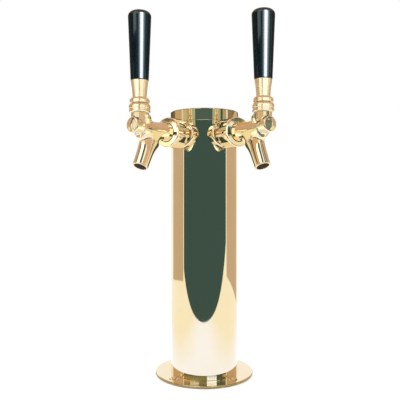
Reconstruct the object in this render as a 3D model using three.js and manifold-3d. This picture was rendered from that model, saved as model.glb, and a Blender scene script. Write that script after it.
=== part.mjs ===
// A two-tap draught beer tower: a polished brass column on a round flange, with two lever taps.
// Lengths are in millimetres and angles in degrees. +Z is up and the taps face -Y. The origin is
// on the counter that the tower stands on, under the middle of the space that the tower fills.
import * as THREE from "three";
import { mergeVertices } from "three/addons/utils/BufferGeometryUtils.js";
import Module from "manifold-3d";

// Facets of the round pieces
const COLUMN_FACETS = 48;
const TAP_FACETS = 20;
const CORE_FACETS = 12;
const EDGE_STEPS = 2;
const CUP_STEPS = 3;
const BALL_STEPS = 6;
const BEND_STEPS = 4;
const SPOUT_STEPS = 7;

// Fits shared by all pieces
const FIT_GAP = 0.3; // between two pieces that sit on or in each other
const RUNNING_GAP = 0.2; // between a moving piece and its seat
const CUT_OVERRUN = 1; // how far a cutter runs past the face that it opens
const WELD_DISTANCE = 1e-4; // corners nearer than this are one corner

// Column, a 3 inch tube
const TOWER_HEIGHT = 297;
const COLUMN_RADIUS = 38.1;
const COLUMN_WALL = 1.5;

// Cap
const CAP_SKIRT_HEIGHT = 13;
const CAP_WALL = 0.7;
const CAP_EDGE_RADIUS = 1.4;

// Base flange, and the gasket under it
const FLANGE_OVERHANG = 16.9; // outside the column
const FLANGE_THICKNESS = 2.2;
const FLANGE_EDGE_RADIUS = 0.8;
const FLANGE_COLLAR_HEIGHT = 12;
const FLANGE_COLLAR_WALL = 2.4;
const GASKET_THICKNESS = 0.8;
const GASKET_INSET = 2;
const SCREW_COUNT = 4;
const SCREW_CLEARANCE = 3.3; // from the column to a countersink's rim
const SCREW_HOLE_RADIUS = 2.5;
const COUNTERSINK_RADIUS = 4.6;
const COUNTERSINK_DEPTH = 1.6;

// Where the taps are on the column
const TAP_HALF_ANGLE = 36; // each tap turns this far from the front
const TAP_SIDES = { left: -1, right: 1 }; // as the user sees them
const SHANK_DROP = 28.2; // from the tower's top down to the shank's axis

// Saddle flange outside the column's wall
const SADDLE_HALF_WIDTH = 18.5; // round the column
const SADDLE_CAP_GAP = 0.4; // from its upper edge to the cap's skirt
const SADDLE_THICKNESS = 5;
const SADDLE_EDGE_RADIUS = 1.8;

// Shank, the threaded tube through the wall
const SHANK_RADIUS = 10.5;
const SHANK_BORE_RADIUS = 3.2;
const SHANK_HEAD_RADIUS = 14;
const SHANK_HEAD_LENGTH = 9.6;
const SHANK_CHAMBER_RADIUS = 8;
const SHANK_CHAMBER_DEPTH = 10.6;

// Backing washer and lock nut inside the wall
const BACKING_RADIUS = 13;
const BACKING_THICKNESS = 2.4;
const LOCK_NUT_ACROSS_FLATS = 26;
const LOCK_NUT_THICKNESS = 7;

// Hose elbow on the shank's inner end
const ELBOW_SPIGOT_LENGTH = 6;
const ELBOW_FLANGE_RADIUS = 7;
const ELBOW_FLANGE_THICKNESS = 2;
const ELBOW_RADIUS = 4.8;
const ELBOW_REACH = 6.4; // from the flange to the hose's axis
const ELBOW_SPACING = 3.2; // between the elbows of the two taps
const ELBOW_BORE_RADIUS = 1.9;
const BARB_DROP = 8; // from the shank's axis to the first barb
const BARB_COUNT = 3;
const BARB_PITCH = 5;
const BARB_RADIUS = 4.4;
const BARB_ROOT_RADIUS = 3.5;

// Coupling nut and its gasket
const COUPLING_GASKET_THICKNESS = 1.4;
const NUT_RADIUS = 15.9;
const NUT_SKIRT_LENGTH = 12.8;
const NUT_LIP_LENGTH = 5.9;
const NUT_EDGE_RADIUS = 1.6;
const NUT_SLOT_COUNT = 6;
const NUT_SLOT_WIDTH = 6.5;
const NUT_SLOT_LENGTH = 4.2;

// Tap body, a casting
const BODY_FLANGE_RADIUS = 13.4;
const BODY_FLANGE_THICKNESS = 3.3;
const NECK_RADIUS = 9.8;
const NECK_LENGTH = 12;
const NECK_TAPER_LENGTH = 10; // from the neck down to the barrel
const BARREL_RADIUS = 9;
const LEVER_REACH = 48.8; // from the body's back face to the lever's axis
const NOSE_RADIUS = 8.2;
const NOSE_RISE = 2.6; // the nose's centre above the shank's axis
const NOSE_LENGTH = 11.4; // in front of the lever's axis
const NOSE_EDGE_RADIUS = 2;
const BOSS_RADIUS = 8.5;
const BOSS_BEND_RADIUS = 14; // of the line on which the barrel turns up into the boss
const SEAT_RADIUS = 4.6;
const FLOW_RADIUS = 6.2;
const GUIDE_BORE_RADIUS = 5.2;
const GUIDE_BORE_SETBACK = 8; // how far the guide bore starts behind the lever's axis
const NOSE_WALL = 2.5;
const SPOUT_SETBACK = 15.5; // the spout's root behind the lever's axis
const SPOUT_TIP_SETBACK = 0.5;
const SPOUT_DROP = 38;
const SPOUT_RADIUS = 7.9;
const SPOUT_ROOT_REACH = 14; // half of the root's length along the tap
const SPOUT_WALL = 1.6;
// Points on the spout's centre line, as shares of its reach, its drop and its root's swell
const SPOUT_LINE_SHARES = [
  [0, 0, 1],
  [0.1, 0.27, 0.85],
  [0.25, 0.4, 0.5],
  [0.46, 0.56, 0.2],
  [1, 1, 0],
];

// Lever, its ball and the two washers that hold the ball
const PIVOT_HEIGHT = 16; // the ball's centre above the shank's axis
const BALL_RADIUS = 6.2;
const LEVER_TIP_RADIUS = 2.3;
const LEVER_STEM_RADIUS = 1.6;
const LEVER_NECK_RADIUS = 2.7;
const LEVER_STUD_RADIUS = 4.6;
const LEVER_STUD_LENGTH = 34;
const LEVER_TILT = 24; // how far the lever tips forward
const BALL_WASHER_THICKNESS = 1.3;
const BALL_WASHER_BORE_RADIUS = 4.9;
const FRICTION_WASHER_THICKNESS = 1.4;
const FRICTION_WASHER_BORE_RADIUS = 5.5;

// Bonnet that closes the boss over the ball
const BONNET_RADIUS = 10.8;
const BONNET_WAIST_DEPTH = 0.5;
const BONNET_SKIRT = 0.6; // below the ball's centre
const BONNET_SHOULDER = 6.5; // above the ball's centre
const BONNET_EDGE = 0.7;
const BONNET_RIM_HEIGHT = 2;
const BONNET_LIP_RADIUS = 7.1;
const BONNET_LIP_HEIGHT = 7.1; // above the ball's centre

// Lever collar, a cup over the bonnet
const COLLAR_RADIUS = 10;
const COLLAR_RIM_RADIUS = 9.4;
const COLLAR_TOP_RADIUS = 8.4;
const COLLAR_HEIGHT = 5.2;
const COLLAR_SWEEP_GAP = 0.6; // between the cup and the bonnet's edge

// Handle
const FERRULE_LENGTH = 17.1;
const FERRULE_FOOT_RADIUS = 6.9;
const FERRULE_WAIST_RADIUS = 7.6;
const FERRULE_TOP_RADIUS = 8.9;
const GRIP_LENGTH = 68.6;
const GRIP_FOOT_RADIUS = 9.1;
const GRIP_TOP_RADIUS = 11.8;
const GRIP_EDGE_RADIUS = 5.5;
const GRIP_DOME = 1.4;

// Valve shaft and its seat washer
const SEAT_WASHER_RADIUS = 6.4;
const SEAT_WASHER_THICKNESS = 2.2;
const SHAFT_STUD_RADIUS = 1.8;
const SHAFT_HEAD_RADIUS = 3.6;
const SHAFT_HEAD_THICKNESS = 1.6;
const SHAFT_SHOULDER_RADIUS = 3.4;
const SHAFT_SHOULDER_LENGTH = 2;
const SHAFT_ROD_RADIUS = 2.4;
const SHAFT_GUIDE_BACK = 5.5; // behind the lever's axis
const SHAFT_GUIDE_FRONT = 6; // in front of the lever's axis
const SLOT_GAP = 0.4; // round the lever's tip

// Rings round the column's axis
const flangeRadius = COLUMN_RADIUS + FLANGE_OVERHANG;
const screwCircleRadius = COLUMN_RADIUS + SCREW_CLEARANCE + COUNTERSINK_RADIUS;

// Stations along the tap, measured from the column's axis
const columnBore = COLUMN_RADIUS - COLUMN_WALL;
const shankHeight = TOWER_HEIGHT - SHANK_DROP;
const saddleFace = COLUMN_RADIUS + SADDLE_THICKNESS;
const saddleHalfHeight = SHANK_DROP - CAP_SKIRT_HEIGHT - SADDLE_CAP_GAP;
const shankHole = SHANK_RADIUS + FIT_GAP;
const backingFace = legOf(columnBore, BACKING_RADIUS) - BACKING_THICKNESS;
const hoseX = (ELBOW_RADIUS + ELBOW_SPACING / 2) / Math.sin(radians(TAP_HALF_ANGLE));
const elbowFlangeBack = hoseX + ELBOW_REACH;
const elbowFlangeFront = elbowFlangeBack + ELBOW_FLANGE_THICKNESS;
const shankBack = elbowFlangeFront + FIT_GAP;
const shankHeadBack = saddleFace + FIT_GAP;
const shankFront = shankHeadBack + SHANK_HEAD_LENGTH;
const bodyBack = shankFront + FIT_GAP + COUPLING_GASKET_THICKNESS + FIT_GAP;
const bodyFlangeFront = bodyBack + BODY_FLANGE_THICKNESS;
const nutLipBack = bodyFlangeFront + FIT_GAP;
const seatWasherFront = bodyBack - RUNNING_GAP;
const seatWasherBack = seatWasherFront - SEAT_WASHER_THICKNESS;
const leverX = bodyBack + LEVER_REACH;
const noseFront = leverX + NOSE_LENGTH;

// Stations along the lever, measured from the ball's centre
const ballWasherTop = -legOf(BALL_RADIUS + RUNNING_GAP, BALL_WASHER_BORE_RADIUS);
const socketFloor = ballWasherTop - BALL_WASHER_THICKNESS - RUNNING_GAP;
const frictionWasherBottom = legOf(BALL_RADIUS + RUNNING_GAP, FRICTION_WASHER_BORE_RADIUS);
const bossTop = frictionWasherBottom - RUNNING_GAP;
const bonnetLedge = frictionWasherBottom + FRICTION_WASHER_THICKNESS + RUNNING_GAP;
const bonnetSweepRadius = Math.max(
  Math.hypot(BONNET_RADIUS, BONNET_SHOULDER - BONNET_EDGE),
  Math.hypot(BONNET_RADIUS - BONNET_EDGE, BONNET_SHOULDER),
);
const cupRadius = bonnetSweepRadius + COLLAR_SWEEP_GAP;
const collarRim = legOf(cupRadius, COLLAR_RIM_RADIUS);
const collarTop = collarRim + COLLAR_HEIGHT;
const collarBoreRadius = LEVER_STUD_RADIUS + FIT_GAP;
const studFoot = legOf(cupRadius, collarBoreRadius) - COLLAR_SWEEP_GAP;
const ferruleFoot = collarTop + FIT_GAP;
const gripFoot = ferruleFoot + FERRULE_LENGTH + FIT_GAP;

const wasm = await Module();
wasm.setup();

function radians(degrees) {
  return THREE.MathUtils.degToRad(degrees);
}

// The third side of a right triangle, from its longest side and another.
function legOf(longest, other) {
  return Math.sqrt(longest ** 2 - other ** 2);
}

// The angle in degrees of the point on a circle that lies this far from the circle's upright axis.
function degreesAt(circleRadius, distance) {
  return THREE.MathUtils.radToDeg(Math.acos(distance / circleRadius));
}

// Turns a closed three.js geometry into a solid, with its faces pointing out.
function solidOf(geometry) {
  const bare = geometry.index ? geometry.toNonIndexed() : geometry.clone();
  bare.deleteAttribute("normal");
  bare.deleteAttribute("uv");
  const welded = mergeVertices(bare, WELD_DISTANCE);
  const corners = welded.index.array;
  const faces = [];
  for (let i = 0; i < corners.length; i += 3) {
    const [a, b, c] = corners.slice(i, i + 3);
    if (a !== b && b !== c && c !== a) faces.push(a, b, c);
  }
  const make = (list) =>
    new wasm.Manifold(
      new wasm.Mesh({
        numProp: 3,
        vertProperties: welded.attributes.position.array,
        triVerts: new Uint32Array(list),
      }),
    );
  const made = make(faces);
  return made.volume() < 0 ? make(faces.reverse()) : made;
}

// Turns a solid back into a three.js geometry.
function geometryOf(solid) {
  const mesh = solid.getMesh();
  const positions = new Float32Array(mesh.numVert * 3);
  for (let i = 0; i < mesh.numVert; i++) {
    positions.set(mesh.vertProperties.subarray(i * mesh.numProp, i * mesh.numProp + 3), i * 3);
  }
  const geometry = new THREE.BufferGeometry();
  geometry.setAttribute("position", new THREE.BufferAttribute(positions, 3));
  geometry.setIndex(new THREE.BufferAttribute(mesh.triVerts, 1));
  geometry.computeVertexNormals();
  return geometry;
}

// A solid of revolution about Z from [radius, height] points that start and end on the axis.
function turned(profile, facets) {
  const points = profile.map(([radius, height]) => new THREE.Vector2(radius, height));
  return solidOf(new THREE.LatheGeometry(points, facets).rotateX(Math.PI / 2));
}

// A ring about Z from [radius, height] points that go once round its section.
function ring(profile, facets) {
  return turned([...profile, profile[0]], facets);
}

// A plain cylinder about Z.
function rod(radius, bottom, top, facets) {
  return turned([[0, bottom], [radius, bottom], [radius, top], [0, top]], facets);
}

// The points of an arc in a section, such as a rounded edge from its outermost point to its highest.
function arc(centreRadius, centreHeight, radius, steps = EDGE_STEPS, fromDegrees = 0, toDegrees = 90) {
  return Array.from({ length: steps + 1 }, (_, i) => {
    const angle = radians(fromDegrees + ((toDegrees - fromDegrees) * i) / steps);
    return [centreRadius + radius * Math.cos(angle), centreHeight + radius * Math.sin(angle)];
  });
}

// Lays a solid that was made about Z along X.
function alongX(solid) {
  return solid.rotate([0, 90, 0]);
}

// A block between two corners.
function box(low, high) {
  const size = high.map((value, i) => value - low[i]);
  const centre = high.map((value, i) => (value + low[i]) / 2);
  return solidOf(new THREE.BoxGeometry(...size)).translate(centre);
}

function cutAll(solid, cutters) {
  return cutters.reduce((made, cutter) => made.subtract(cutter), solid);
}

function joinAll(solid, others) {
  return others.reduce((made, other) => made.add(other), solid);
}

// Materials

function finish(color, metalness, roughness) {
  return new THREE.MeshStandardMaterial({ color, metalness, roughness });
}

const brass = finish(0xe3bf78, 1, 0.08);
const blackPlastic = finish(0x0b1114, 0, 0.12);
const rubber = finish(0x1c1c1c, 0, 0.8);
const nylon = finish(0xe8e4d8, 0, 0.5);
const steel = finish(0xc9cbcc, 1, 0.25);

function piece(name, solid, material) {
  const mesh = new THREE.Mesh(geometryOf(solid), material);
  mesh.name = name;
  return mesh;
}

// The points round a circle about Z where something repeats, the first at an angle in degrees.
function around(count, firstDegrees, place) {
  return Array.from({ length: count }, (_, i) => place(firstDegrees + (i * 360) / count));
}

// Tower

function baseGasket() {
  const inner = columnBore - FIT_GAP - FLANGE_COLLAR_WALL;
  const outer = flangeRadius - GASKET_INSET;
  const sheet = ring(
    [[inner, 0], [outer, 0], [outer, GASKET_THICKNESS], [inner, GASKET_THICKNESS]],
    COLUMN_FACETS,
  );
  const top = GASKET_THICKNESS + CUT_OVERRUN;
  return cutAll(sheet, atScrews(rod(SCREW_HOLE_RADIUS + FIT_GAP, -CUT_OVERRUN, top, CORE_FACETS)));
}

// Copies of a screw's hole at each screw.
function atScrews(hole) {
  const first = hole.translate([screwCircleRadius, 0, 0]);
  return around(SCREW_COUNT, 180 / SCREW_COUNT, (degrees) => first.rotate([0, 0, degrees]));
}

function baseFlange() {
  const bottom = GASKET_THICKNESS;
  const top = bottom + FLANGE_THICKNESS;
  const collarOuter = columnBore - FIT_GAP;
  const collarInner = collarOuter - FLANGE_COLLAR_WALL;
  const plate = ring(
    [
      [collarInner, bottom],
      [flangeRadius, bottom],
      ...arc(flangeRadius - FLANGE_EDGE_RADIUS, top - FLANGE_EDGE_RADIUS, FLANGE_EDGE_RADIUS),
      [collarOuter, top],
      [collarOuter, top + FLANGE_COLLAR_HEIGHT],
      [collarInner, top + FLANGE_COLLAR_HEIGHT],
    ],
    COLUMN_FACETS,
  );
  const hole = turned(
    [
      [0, bottom - CUT_OVERRUN],
      [SCREW_HOLE_RADIUS, bottom - CUT_OVERRUN],
      [SCREW_HOLE_RADIUS, top - COUNTERSINK_DEPTH],
      [COUNTERSINK_RADIUS, top],
      [COUNTERSINK_RADIUS, top + CUT_OVERRUN],
      [0, top + CUT_OVERRUN],
    ],
    CORE_FACETS,
  );
  return cutAll(plate, atScrews(hole));
}

function columnTube() {
  const bottom = GASKET_THICKNESS + FLANGE_THICKNESS;
  const top = TOWER_HEIGHT - CAP_WALL;
  const tube = ring(
    [[columnBore, bottom], [COLUMN_RADIUS, bottom], [COLUMN_RADIUS, top], [columnBore, top]],
    COLUMN_FACETS,
  );
  const hole = alongX(rod(shankHole, 0, COLUMN_RADIUS + CUT_OVERRUN, TAP_FACETS));
  const holes = Object.values(TAP_SIDES).map((side) => hole.rotate([0, 0, tapDegrees(side)]));
  return cutAll(tube, holes.map((each) => each.translate([0, 0, shankHeight])));
}

function topCap() {
  const inner = COLUMN_RADIUS + RUNNING_GAP;
  const outer = inner + CAP_WALL;
  const bottom = TOWER_HEIGHT - CAP_SKIRT_HEIGHT;
  return turned(
    [
      [0, TOWER_HEIGHT - CAP_WALL],
      [inner, TOWER_HEIGHT - CAP_WALL],
      [inner, bottom],
      [outer, bottom],
      ...arc(outer - CAP_EDGE_RADIUS, TOWER_HEIGHT - CAP_EDGE_RADIUS, CAP_EDGE_RADIUS),
      [0, TOWER_HEIGHT],
    ],
    COLUMN_FACETS,
  );
}

// Shank and what clamps it to the wall. X runs out along the shank from the column's axis.

// An oval plate, wider round the column than it is high.
function saddleFlange() {
  const edge = SADDLE_EDGE_RADIUS;
  const back = legOf(COLUMN_RADIUS, SADDLE_HALF_WIDTH) - CUT_OVERRUN;
  const column = rod(COLUMN_RADIUS + FIT_GAP, -COLUMN_RADIUS, COLUMN_RADIUS, COLUMN_FACETS);
  const bore = rod(shankHole, back - CUT_OVERRUN, saddleFace + CUT_OVERRUN, TAP_FACETS);
  const round = turned(
    [
      [0, back],
      [saddleHalfHeight, back],
      ...arc(saddleHalfHeight - edge, saddleFace - edge, edge),
      [0, saddleFace],
    ],
    TAP_FACETS,
  );
  const oval = round.scale([1, SADDLE_HALF_WIDTH / saddleHalfHeight, 1]);
  return cutAll(alongX(oval.subtract(bore)), [column]);
}

function shank() {
  const chamberBack = shankFront - SHANK_CHAMBER_DEPTH;
  return alongX(
    ring(
      [
        [SHANK_BORE_RADIUS, shankBack],
        [SHANK_RADIUS, shankBack],
        [SHANK_RADIUS, shankHeadBack],
        [SHANK_HEAD_RADIUS, shankHeadBack],
        [SHANK_HEAD_RADIUS, shankFront],
        [SHANK_CHAMBER_RADIUS, shankFront],
        [SHANK_CHAMBER_RADIUS, chamberBack],
        [SHANK_BORE_RADIUS, chamberBack],
      ],
      TAP_FACETS,
    ),
  );
}

function backingWasher() {
  const disc = ring(
    [
      [shankHole, backingFace],
      [BACKING_RADIUS, backingFace],
      [BACKING_RADIUS, columnBore],
      [shankHole, columnBore],
    ],
    TAP_FACETS,
  );
  const inside = rod(columnBore - FIT_GAP, -COLUMN_RADIUS, COLUMN_RADIUS, COLUMN_FACETS);
  return alongX(disc).intersect(inside);
}

function lockNut() {
  const front = backingFace - FIT_GAP;
  const back = front - LOCK_NUT_THICKNESS;
  const cornerRadius = LOCK_NUT_ACROSS_FLATS / 2 / Math.cos(Math.PI / 6);
  const hexagon = rod(cornerRadius, back, front, 6).rotate([0, 0, 30]);
  const bore = rod(shankHole, back - CUT_OVERRUN, front + CUT_OVERRUN, TAP_FACETS);
  return alongX(hexagon.subtract(bore));
}

function hoseElbow() {
  const spigot = SHANK_BORE_RADIUS - FIT_GAP;
  const arm = alongX(
    turned(
      [
        [0, hoseX],
        [ELBOW_RADIUS, hoseX],
        [ELBOW_RADIUS, elbowFlangeBack],
        [ELBOW_FLANGE_RADIUS, elbowFlangeBack],
        [ELBOW_FLANGE_RADIUS, elbowFlangeFront],
        [spigot, elbowFlangeFront],
        [spigot, elbowFlangeFront + ELBOW_SPIGOT_LENGTH],
        [0, elbowFlangeFront + ELBOW_SPIGOT_LENGTH],
      ],
      CORE_FACETS,
    ),
  );
  const barbEnd = -BARB_DROP - BARB_COUNT * BARB_PITCH;
  const barbTops = Array.from({ length: BARB_COUNT }, (_, i) => -BARB_DROP - i * BARB_PITCH);
  const tail = turned(
    [
      [0, ELBOW_RADIUS],
      [ELBOW_RADIUS, ELBOW_RADIUS],
      [ELBOW_RADIUS, -ELBOW_RADIUS],
      [BARB_ROOT_RADIUS, -ELBOW_RADIUS],
      ...barbTops.flatMap((top) => [
        [BARB_ROOT_RADIUS, top],
        [BARB_RADIUS, top],
        [BARB_ROOT_RADIUS, top - BARB_PITCH],
      ]),
      [0, barbEnd],
    ],
    CORE_FACETS,
  ).translate([hoseX, 0, 0]);
  const spigotEnd = elbowFlangeFront + ELBOW_SPIGOT_LENGTH;
  const along = alongX(rod(ELBOW_BORE_RADIUS, hoseX, spigotEnd + CUT_OVERRUN, CORE_FACETS));
  const down = rod(ELBOW_BORE_RADIUS, barbEnd - CUT_OVERRUN, ELBOW_BORE_RADIUS, CORE_FACETS);
  return cutAll(arm.add(tail), [along, down.translate([hoseX, 0, 0])]);
}

function couplingGasket() {
  const back = shankFront + FIT_GAP;
  const front = back + COUPLING_GASKET_THICKNESS;
  const profile = [
    [SHANK_CHAMBER_RADIUS, back],
    [BODY_FLANGE_RADIUS, back],
    [BODY_FLANGE_RADIUS, front],
    [SHANK_CHAMBER_RADIUS, front],
  ];
  return alongX(ring(profile, TAP_FACETS));
}

function couplingNut() {
  const back = nutLipBack - NUT_SKIRT_LENGTH;
  const front = nutLipBack + NUT_LIP_LENGTH;
  const thread = SHANK_HEAD_RADIUS + FIT_GAP;
  const lip = NECK_RADIUS + FIT_GAP;
  const shell = ring(
    [
      [thread, back],
      [NUT_RADIUS, back],
      ...arc(NUT_RADIUS - NUT_EDGE_RADIUS, front - NUT_EDGE_RADIUS, NUT_EDGE_RADIUS),
      [lip, front],
      [lip, nutLipBack],
      [thread, nutLipBack],
    ],
    TAP_FACETS,
  );
  const slot = box(
    [NECK_RADIUS, -NUT_SLOT_WIDTH / 2, back - CUT_OVERRUN],
    [NUT_RADIUS + CUT_OVERRUN, NUT_SLOT_WIDTH / 2, back + NUT_SLOT_LENGTH],
  );
  // an angle of 0 points down once the nut lies along X, so a slot faces down and none faces sideways
  const slots = around(NUT_SLOT_COUNT, 0, (degrees) => slot.rotate([0, 0, degrees]));
  return alongX(cutAll(shell, slots));
}

// Tap body

// Places along the spout's centre line, with its half width across the tap and its reach along it.
// The swell is carried as the line's Y.
function spoutStations() {
  const rootX = leverX - SPOUT_SETBACK;
  const reach = SPOUT_SETBACK - SPOUT_TIP_SETBACK;
  const swell = SPOUT_ROOT_REACH - SPOUT_RADIUS;
  const knots = SPOUT_LINE_SHARES.map(
    ([reachShare, dropShare, swellShare]) =>
      new THREE.Vector3(rootX + reach * reachShare, swell * swellShare, -SPOUT_DROP * dropShare),
  );
  const line = new THREE.CatmullRomCurve3(knots);
  return Array.from({ length: SPOUT_STEPS + 1 }, (_, i) => {
    const share = i / SPOUT_STEPS;
    const point = line.getPoint(share);
    const tangent = line.getTangent(share);
    return {
      centre: new THREE.Vector3(point.x, 0, point.z),
      along: new THREE.Vector3(tangent.x, 0, tangent.z).normalize(),
      radius: SPOUT_RADIUS,
      reach: SPOUT_RADIUS + Math.max(point.y, 0),
    };
  });
}

// Places along the quarter turn from the barrel up into the boss.
function bendStations() {
  return Array.from({ length: BEND_STEPS + 1 }, (_, i) => {
    const turn = radians((i * 90) / BEND_STEPS);
    const [across, up] = [BOSS_BEND_RADIUS * Math.sin(turn), BOSS_BEND_RADIUS * (1 - Math.cos(turn))];
    return {
      centre: new THREE.Vector3(leverX - BOSS_BEND_RADIUS + across, 0, up),
      along: new THREE.Vector3(Math.cos(turn), 0, Math.sin(turn)),
      radius: BOSS_RADIUS,
      reach: BOSS_RADIUS,
    };
  });
}

// A rod through stations that lie in the XZ plane, round where the reach equals the radius.
function loft(stations, facets) {
  const side = new THREE.Vector3(0, 1, 0);
  const corners = [];
  const faces = [];
  for (const { centre, along, radius, reach } of stations) {
    const across = new THREE.Vector3().crossVectors(side, along);
    for (let i = 0; i < facets; i++) {
      const angle = (i * 2 * Math.PI) / facets;
      const corner = centre.clone().addScaledVector(side, radius * Math.sin(angle));
      corners.push(corner.addScaledVector(across, reach * Math.cos(angle)));
    }
  }
  for (let row = 0; row < stations.length - 1; row++) {
    for (let i = 0; i < facets; i++) {
      const [a, b] = [row * facets + i, row * facets + ((i + 1) % facets)];
      faces.push(a, b, b + facets, a, b + facets, a + facets);
    }
  }
  const last = (stations.length - 1) * facets;
  for (let i = 1; i < facets - 1; i++) faces.push(0, i + 1, i, last, last + i, last + i + 1);
  return solidOf(new THREE.BufferGeometry().setFromPoints(corners).setIndex(faces));
}

function tapBody() {
  const neckFront = bodyFlangeFront + NECK_LENGTH;
  const noseBack = leverX - BOSS_RADIUS;
  const barrel = alongX(
    turned(
      [
        [0, bodyBack],
        [BODY_FLANGE_RADIUS, bodyBack],
        [BODY_FLANGE_RADIUS, bodyFlangeFront],
        [NECK_RADIUS, bodyFlangeFront],
        [NECK_RADIUS, neckFront],
        [BARREL_RADIUS, neckFront + NECK_TAPER_LENGTH],
        [BARREL_RADIUS, leverX],
        [0, leverX],
      ],
      TAP_FACETS,
    ),
  );
  const nose = alongX(
    turned(
      [
        [0, noseBack],
        [NOSE_RADIUS, noseBack],
        ...arc(NOSE_RADIUS - NOSE_EDGE_RADIUS, noseFront - NOSE_EDGE_RADIUS, NOSE_EDGE_RADIUS),
        [0, noseFront],
      ],
      TAP_FACETS,
    ),
  ).translate([0, 0, NOSE_RISE]);
  const boss = rod(BOSS_RADIUS, 0, PIVOT_HEIGHT + bossTop, TAP_FACETS).translate([leverX, 0, 0]);
  const bend = loft(bendStations(), TAP_FACETS);
  const spout = loft(spoutStations(), TAP_FACETS);
  const outside = joinAll(barrel, [nose, boss, bend, spout]);
  return cutAll(outside, [...valveCuts(), ...leverCuts(), spoutCut()]);
}

// The seat, the flow chamber and the guide bore, along the barrel.
function valveCuts() {
  const guideBack = leverX - GUIDE_BORE_SETBACK;
  const seat = rod(SEAT_RADIUS, bodyBack - CUT_OVERRUN, bodyFlangeFront + CUT_OVERRUN, CORE_FACETS);
  const flow = rod(FLOW_RADIUS, bodyFlangeFront, guideBack, CORE_FACETS);
  const guide = rod(GUIDE_BORE_RADIUS, guideBack - CUT_OVERRUN, noseFront - NOSE_WALL, CORE_FACETS);
  return [seat, flow, guide].map(alongX);
}

// The ball's socket, the hole in its floor and the slot that the lever's stem swings in.
function leverCuts() {
  const socketRadius = BALL_RADIUS + FIT_GAP + RUNNING_GAP;
  const socket = rod(socketRadius, socketFloor, bossTop + CUT_OVERRUN, CORE_FACETS);
  const floorHole = rod(BALL_WASHER_BORE_RADIUS, -PIVOT_HEIGHT, socketFloor + CUT_OVERRUN, CORE_FACETS);
  const tilt = radians(LEVER_TILT);
  const swing = (PIVOT_HEIGHT - GUIDE_BORE_RADIUS) * Math.tan(tilt) + LEVER_STEM_RADIUS / Math.cos(tilt);
  const halfWidth = LEVER_STEM_RADIUS + SLOT_GAP;
  const slot = box([-swing - SLOT_GAP, -halfWidth, -PIVOT_HEIGHT], [0, halfWidth, socketFloor]);
  return [socket, floorHole, slot].map((cut) => cut.translate([leverX, 0, PIVOT_HEIGHT]));
}

// The spout's bore, which runs past its tip.
function spoutCut() {
  const stations = spoutStations();
  const tip = stations.at(-1);
  const past = { ...tip, centre: tip.centre.clone().addScaledVector(tip.along, CUT_OVERRUN) };
  const radius = SPOUT_RADIUS - SPOUT_WALL;
  const bore = [...stations, past].map((station) => ({ ...station, radius, reach: radius }));
  return loft(bore, CORE_FACETS);
}

// Valve shaft

function valveShaft() {
  const headFront = seatWasherBack - RUNNING_GAP;
  const headBack = headFront - SHAFT_HEAD_THICKNESS;
  const shoulderBack = seatWasherFront + RUNNING_GAP;
  const guideBack = leverX - SHAFT_GUIDE_BACK;
  const guideFront = leverX + SHAFT_GUIDE_FRONT;
  const guideRadius = GUIDE_BORE_RADIUS - RUNNING_GAP;
  const shaft = turned(
    [
      [0, headBack],
      [SHAFT_HEAD_RADIUS, headBack],
      [SHAFT_HEAD_RADIUS, headFront],
      [SHAFT_STUD_RADIUS, headFront],
      [SHAFT_STUD_RADIUS, shoulderBack],
      [SHAFT_SHOULDER_RADIUS, shoulderBack],
      [SHAFT_SHOULDER_RADIUS, shoulderBack + SHAFT_SHOULDER_LENGTH],
      [SHAFT_ROD_RADIUS, shoulderBack + SHAFT_SHOULDER_LENGTH],
      [SHAFT_ROD_RADIUS, guideBack],
      [guideRadius, guideBack],
      [guideRadius, guideFront],
      [0, guideFront],
    ],
    CORE_FACETS,
  );
  const halfSlot = LEVER_TIP_RADIUS + SLOT_GAP;
  const slot = box([-halfSlot, -halfSlot, -halfSlot], [halfSlot, halfSlot, guideRadius]);
  const above = box(
    [-SHAFT_GUIDE_BACK - CUT_OVERRUN, -guideRadius, halfSlot],
    [SHAFT_GUIDE_FRONT + CUT_OVERRUN, guideRadius, guideRadius + CUT_OVERRUN],
  );
  return cutAll(alongX(shaft), [slot, above].map((cut) => cut.translate([leverX, 0, 0])));
}

function seatWasher() {
  const inner = SHAFT_STUD_RADIUS + RUNNING_GAP;
  const profile = [
    [inner, seatWasherBack],
    [SEAT_WASHER_RADIUS, seatWasherBack],
    [SEAT_WASHER_RADIUS, seatWasherFront],
    [inner, seatWasherFront],
  ];
  return alongX(ring(profile, CORE_FACETS));
}

// Lever and handle. Heights are measured from the ball's centre.

function lever() {
  const tipDegrees = degreesAt(LEVER_TIP_RADIUS, LEVER_STEM_RADIUS);
  const ballFootDegrees = -degreesAt(BALL_RADIUS, LEVER_STEM_RADIUS);
  const ballTopDegrees = degreesAt(BALL_RADIUS, LEVER_NECK_RADIUS);
  const studTop = studFoot + LEVER_STUD_LENGTH;
  return turned(
    [
      [0, -PIVOT_HEIGHT - LEVER_TIP_RADIUS],
      ...arc(0, -PIVOT_HEIGHT, LEVER_TIP_RADIUS, BALL_STEPS, -90, tipDegrees).slice(1),
      ...arc(0, 0, BALL_RADIUS, BALL_STEPS, ballFootDegrees, ballTopDegrees),
      [LEVER_NECK_RADIUS, studFoot],
      [LEVER_STUD_RADIUS, studFoot],
      [LEVER_STUD_RADIUS, studTop],
      [0, studTop],
    ],
    CORE_FACETS,
  );
}

function ballWasher() {
  const outer = BALL_RADIUS + RUNNING_GAP;
  const bottom = ballWasherTop - BALL_WASHER_THICKNESS;
  const profile = [
    [BALL_WASHER_BORE_RADIUS, bottom],
    [outer, bottom],
    [outer, ballWasherTop],
    [BALL_WASHER_BORE_RADIUS, ballWasherTop],
  ];
  return ring(profile, CORE_FACETS);
}

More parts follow.
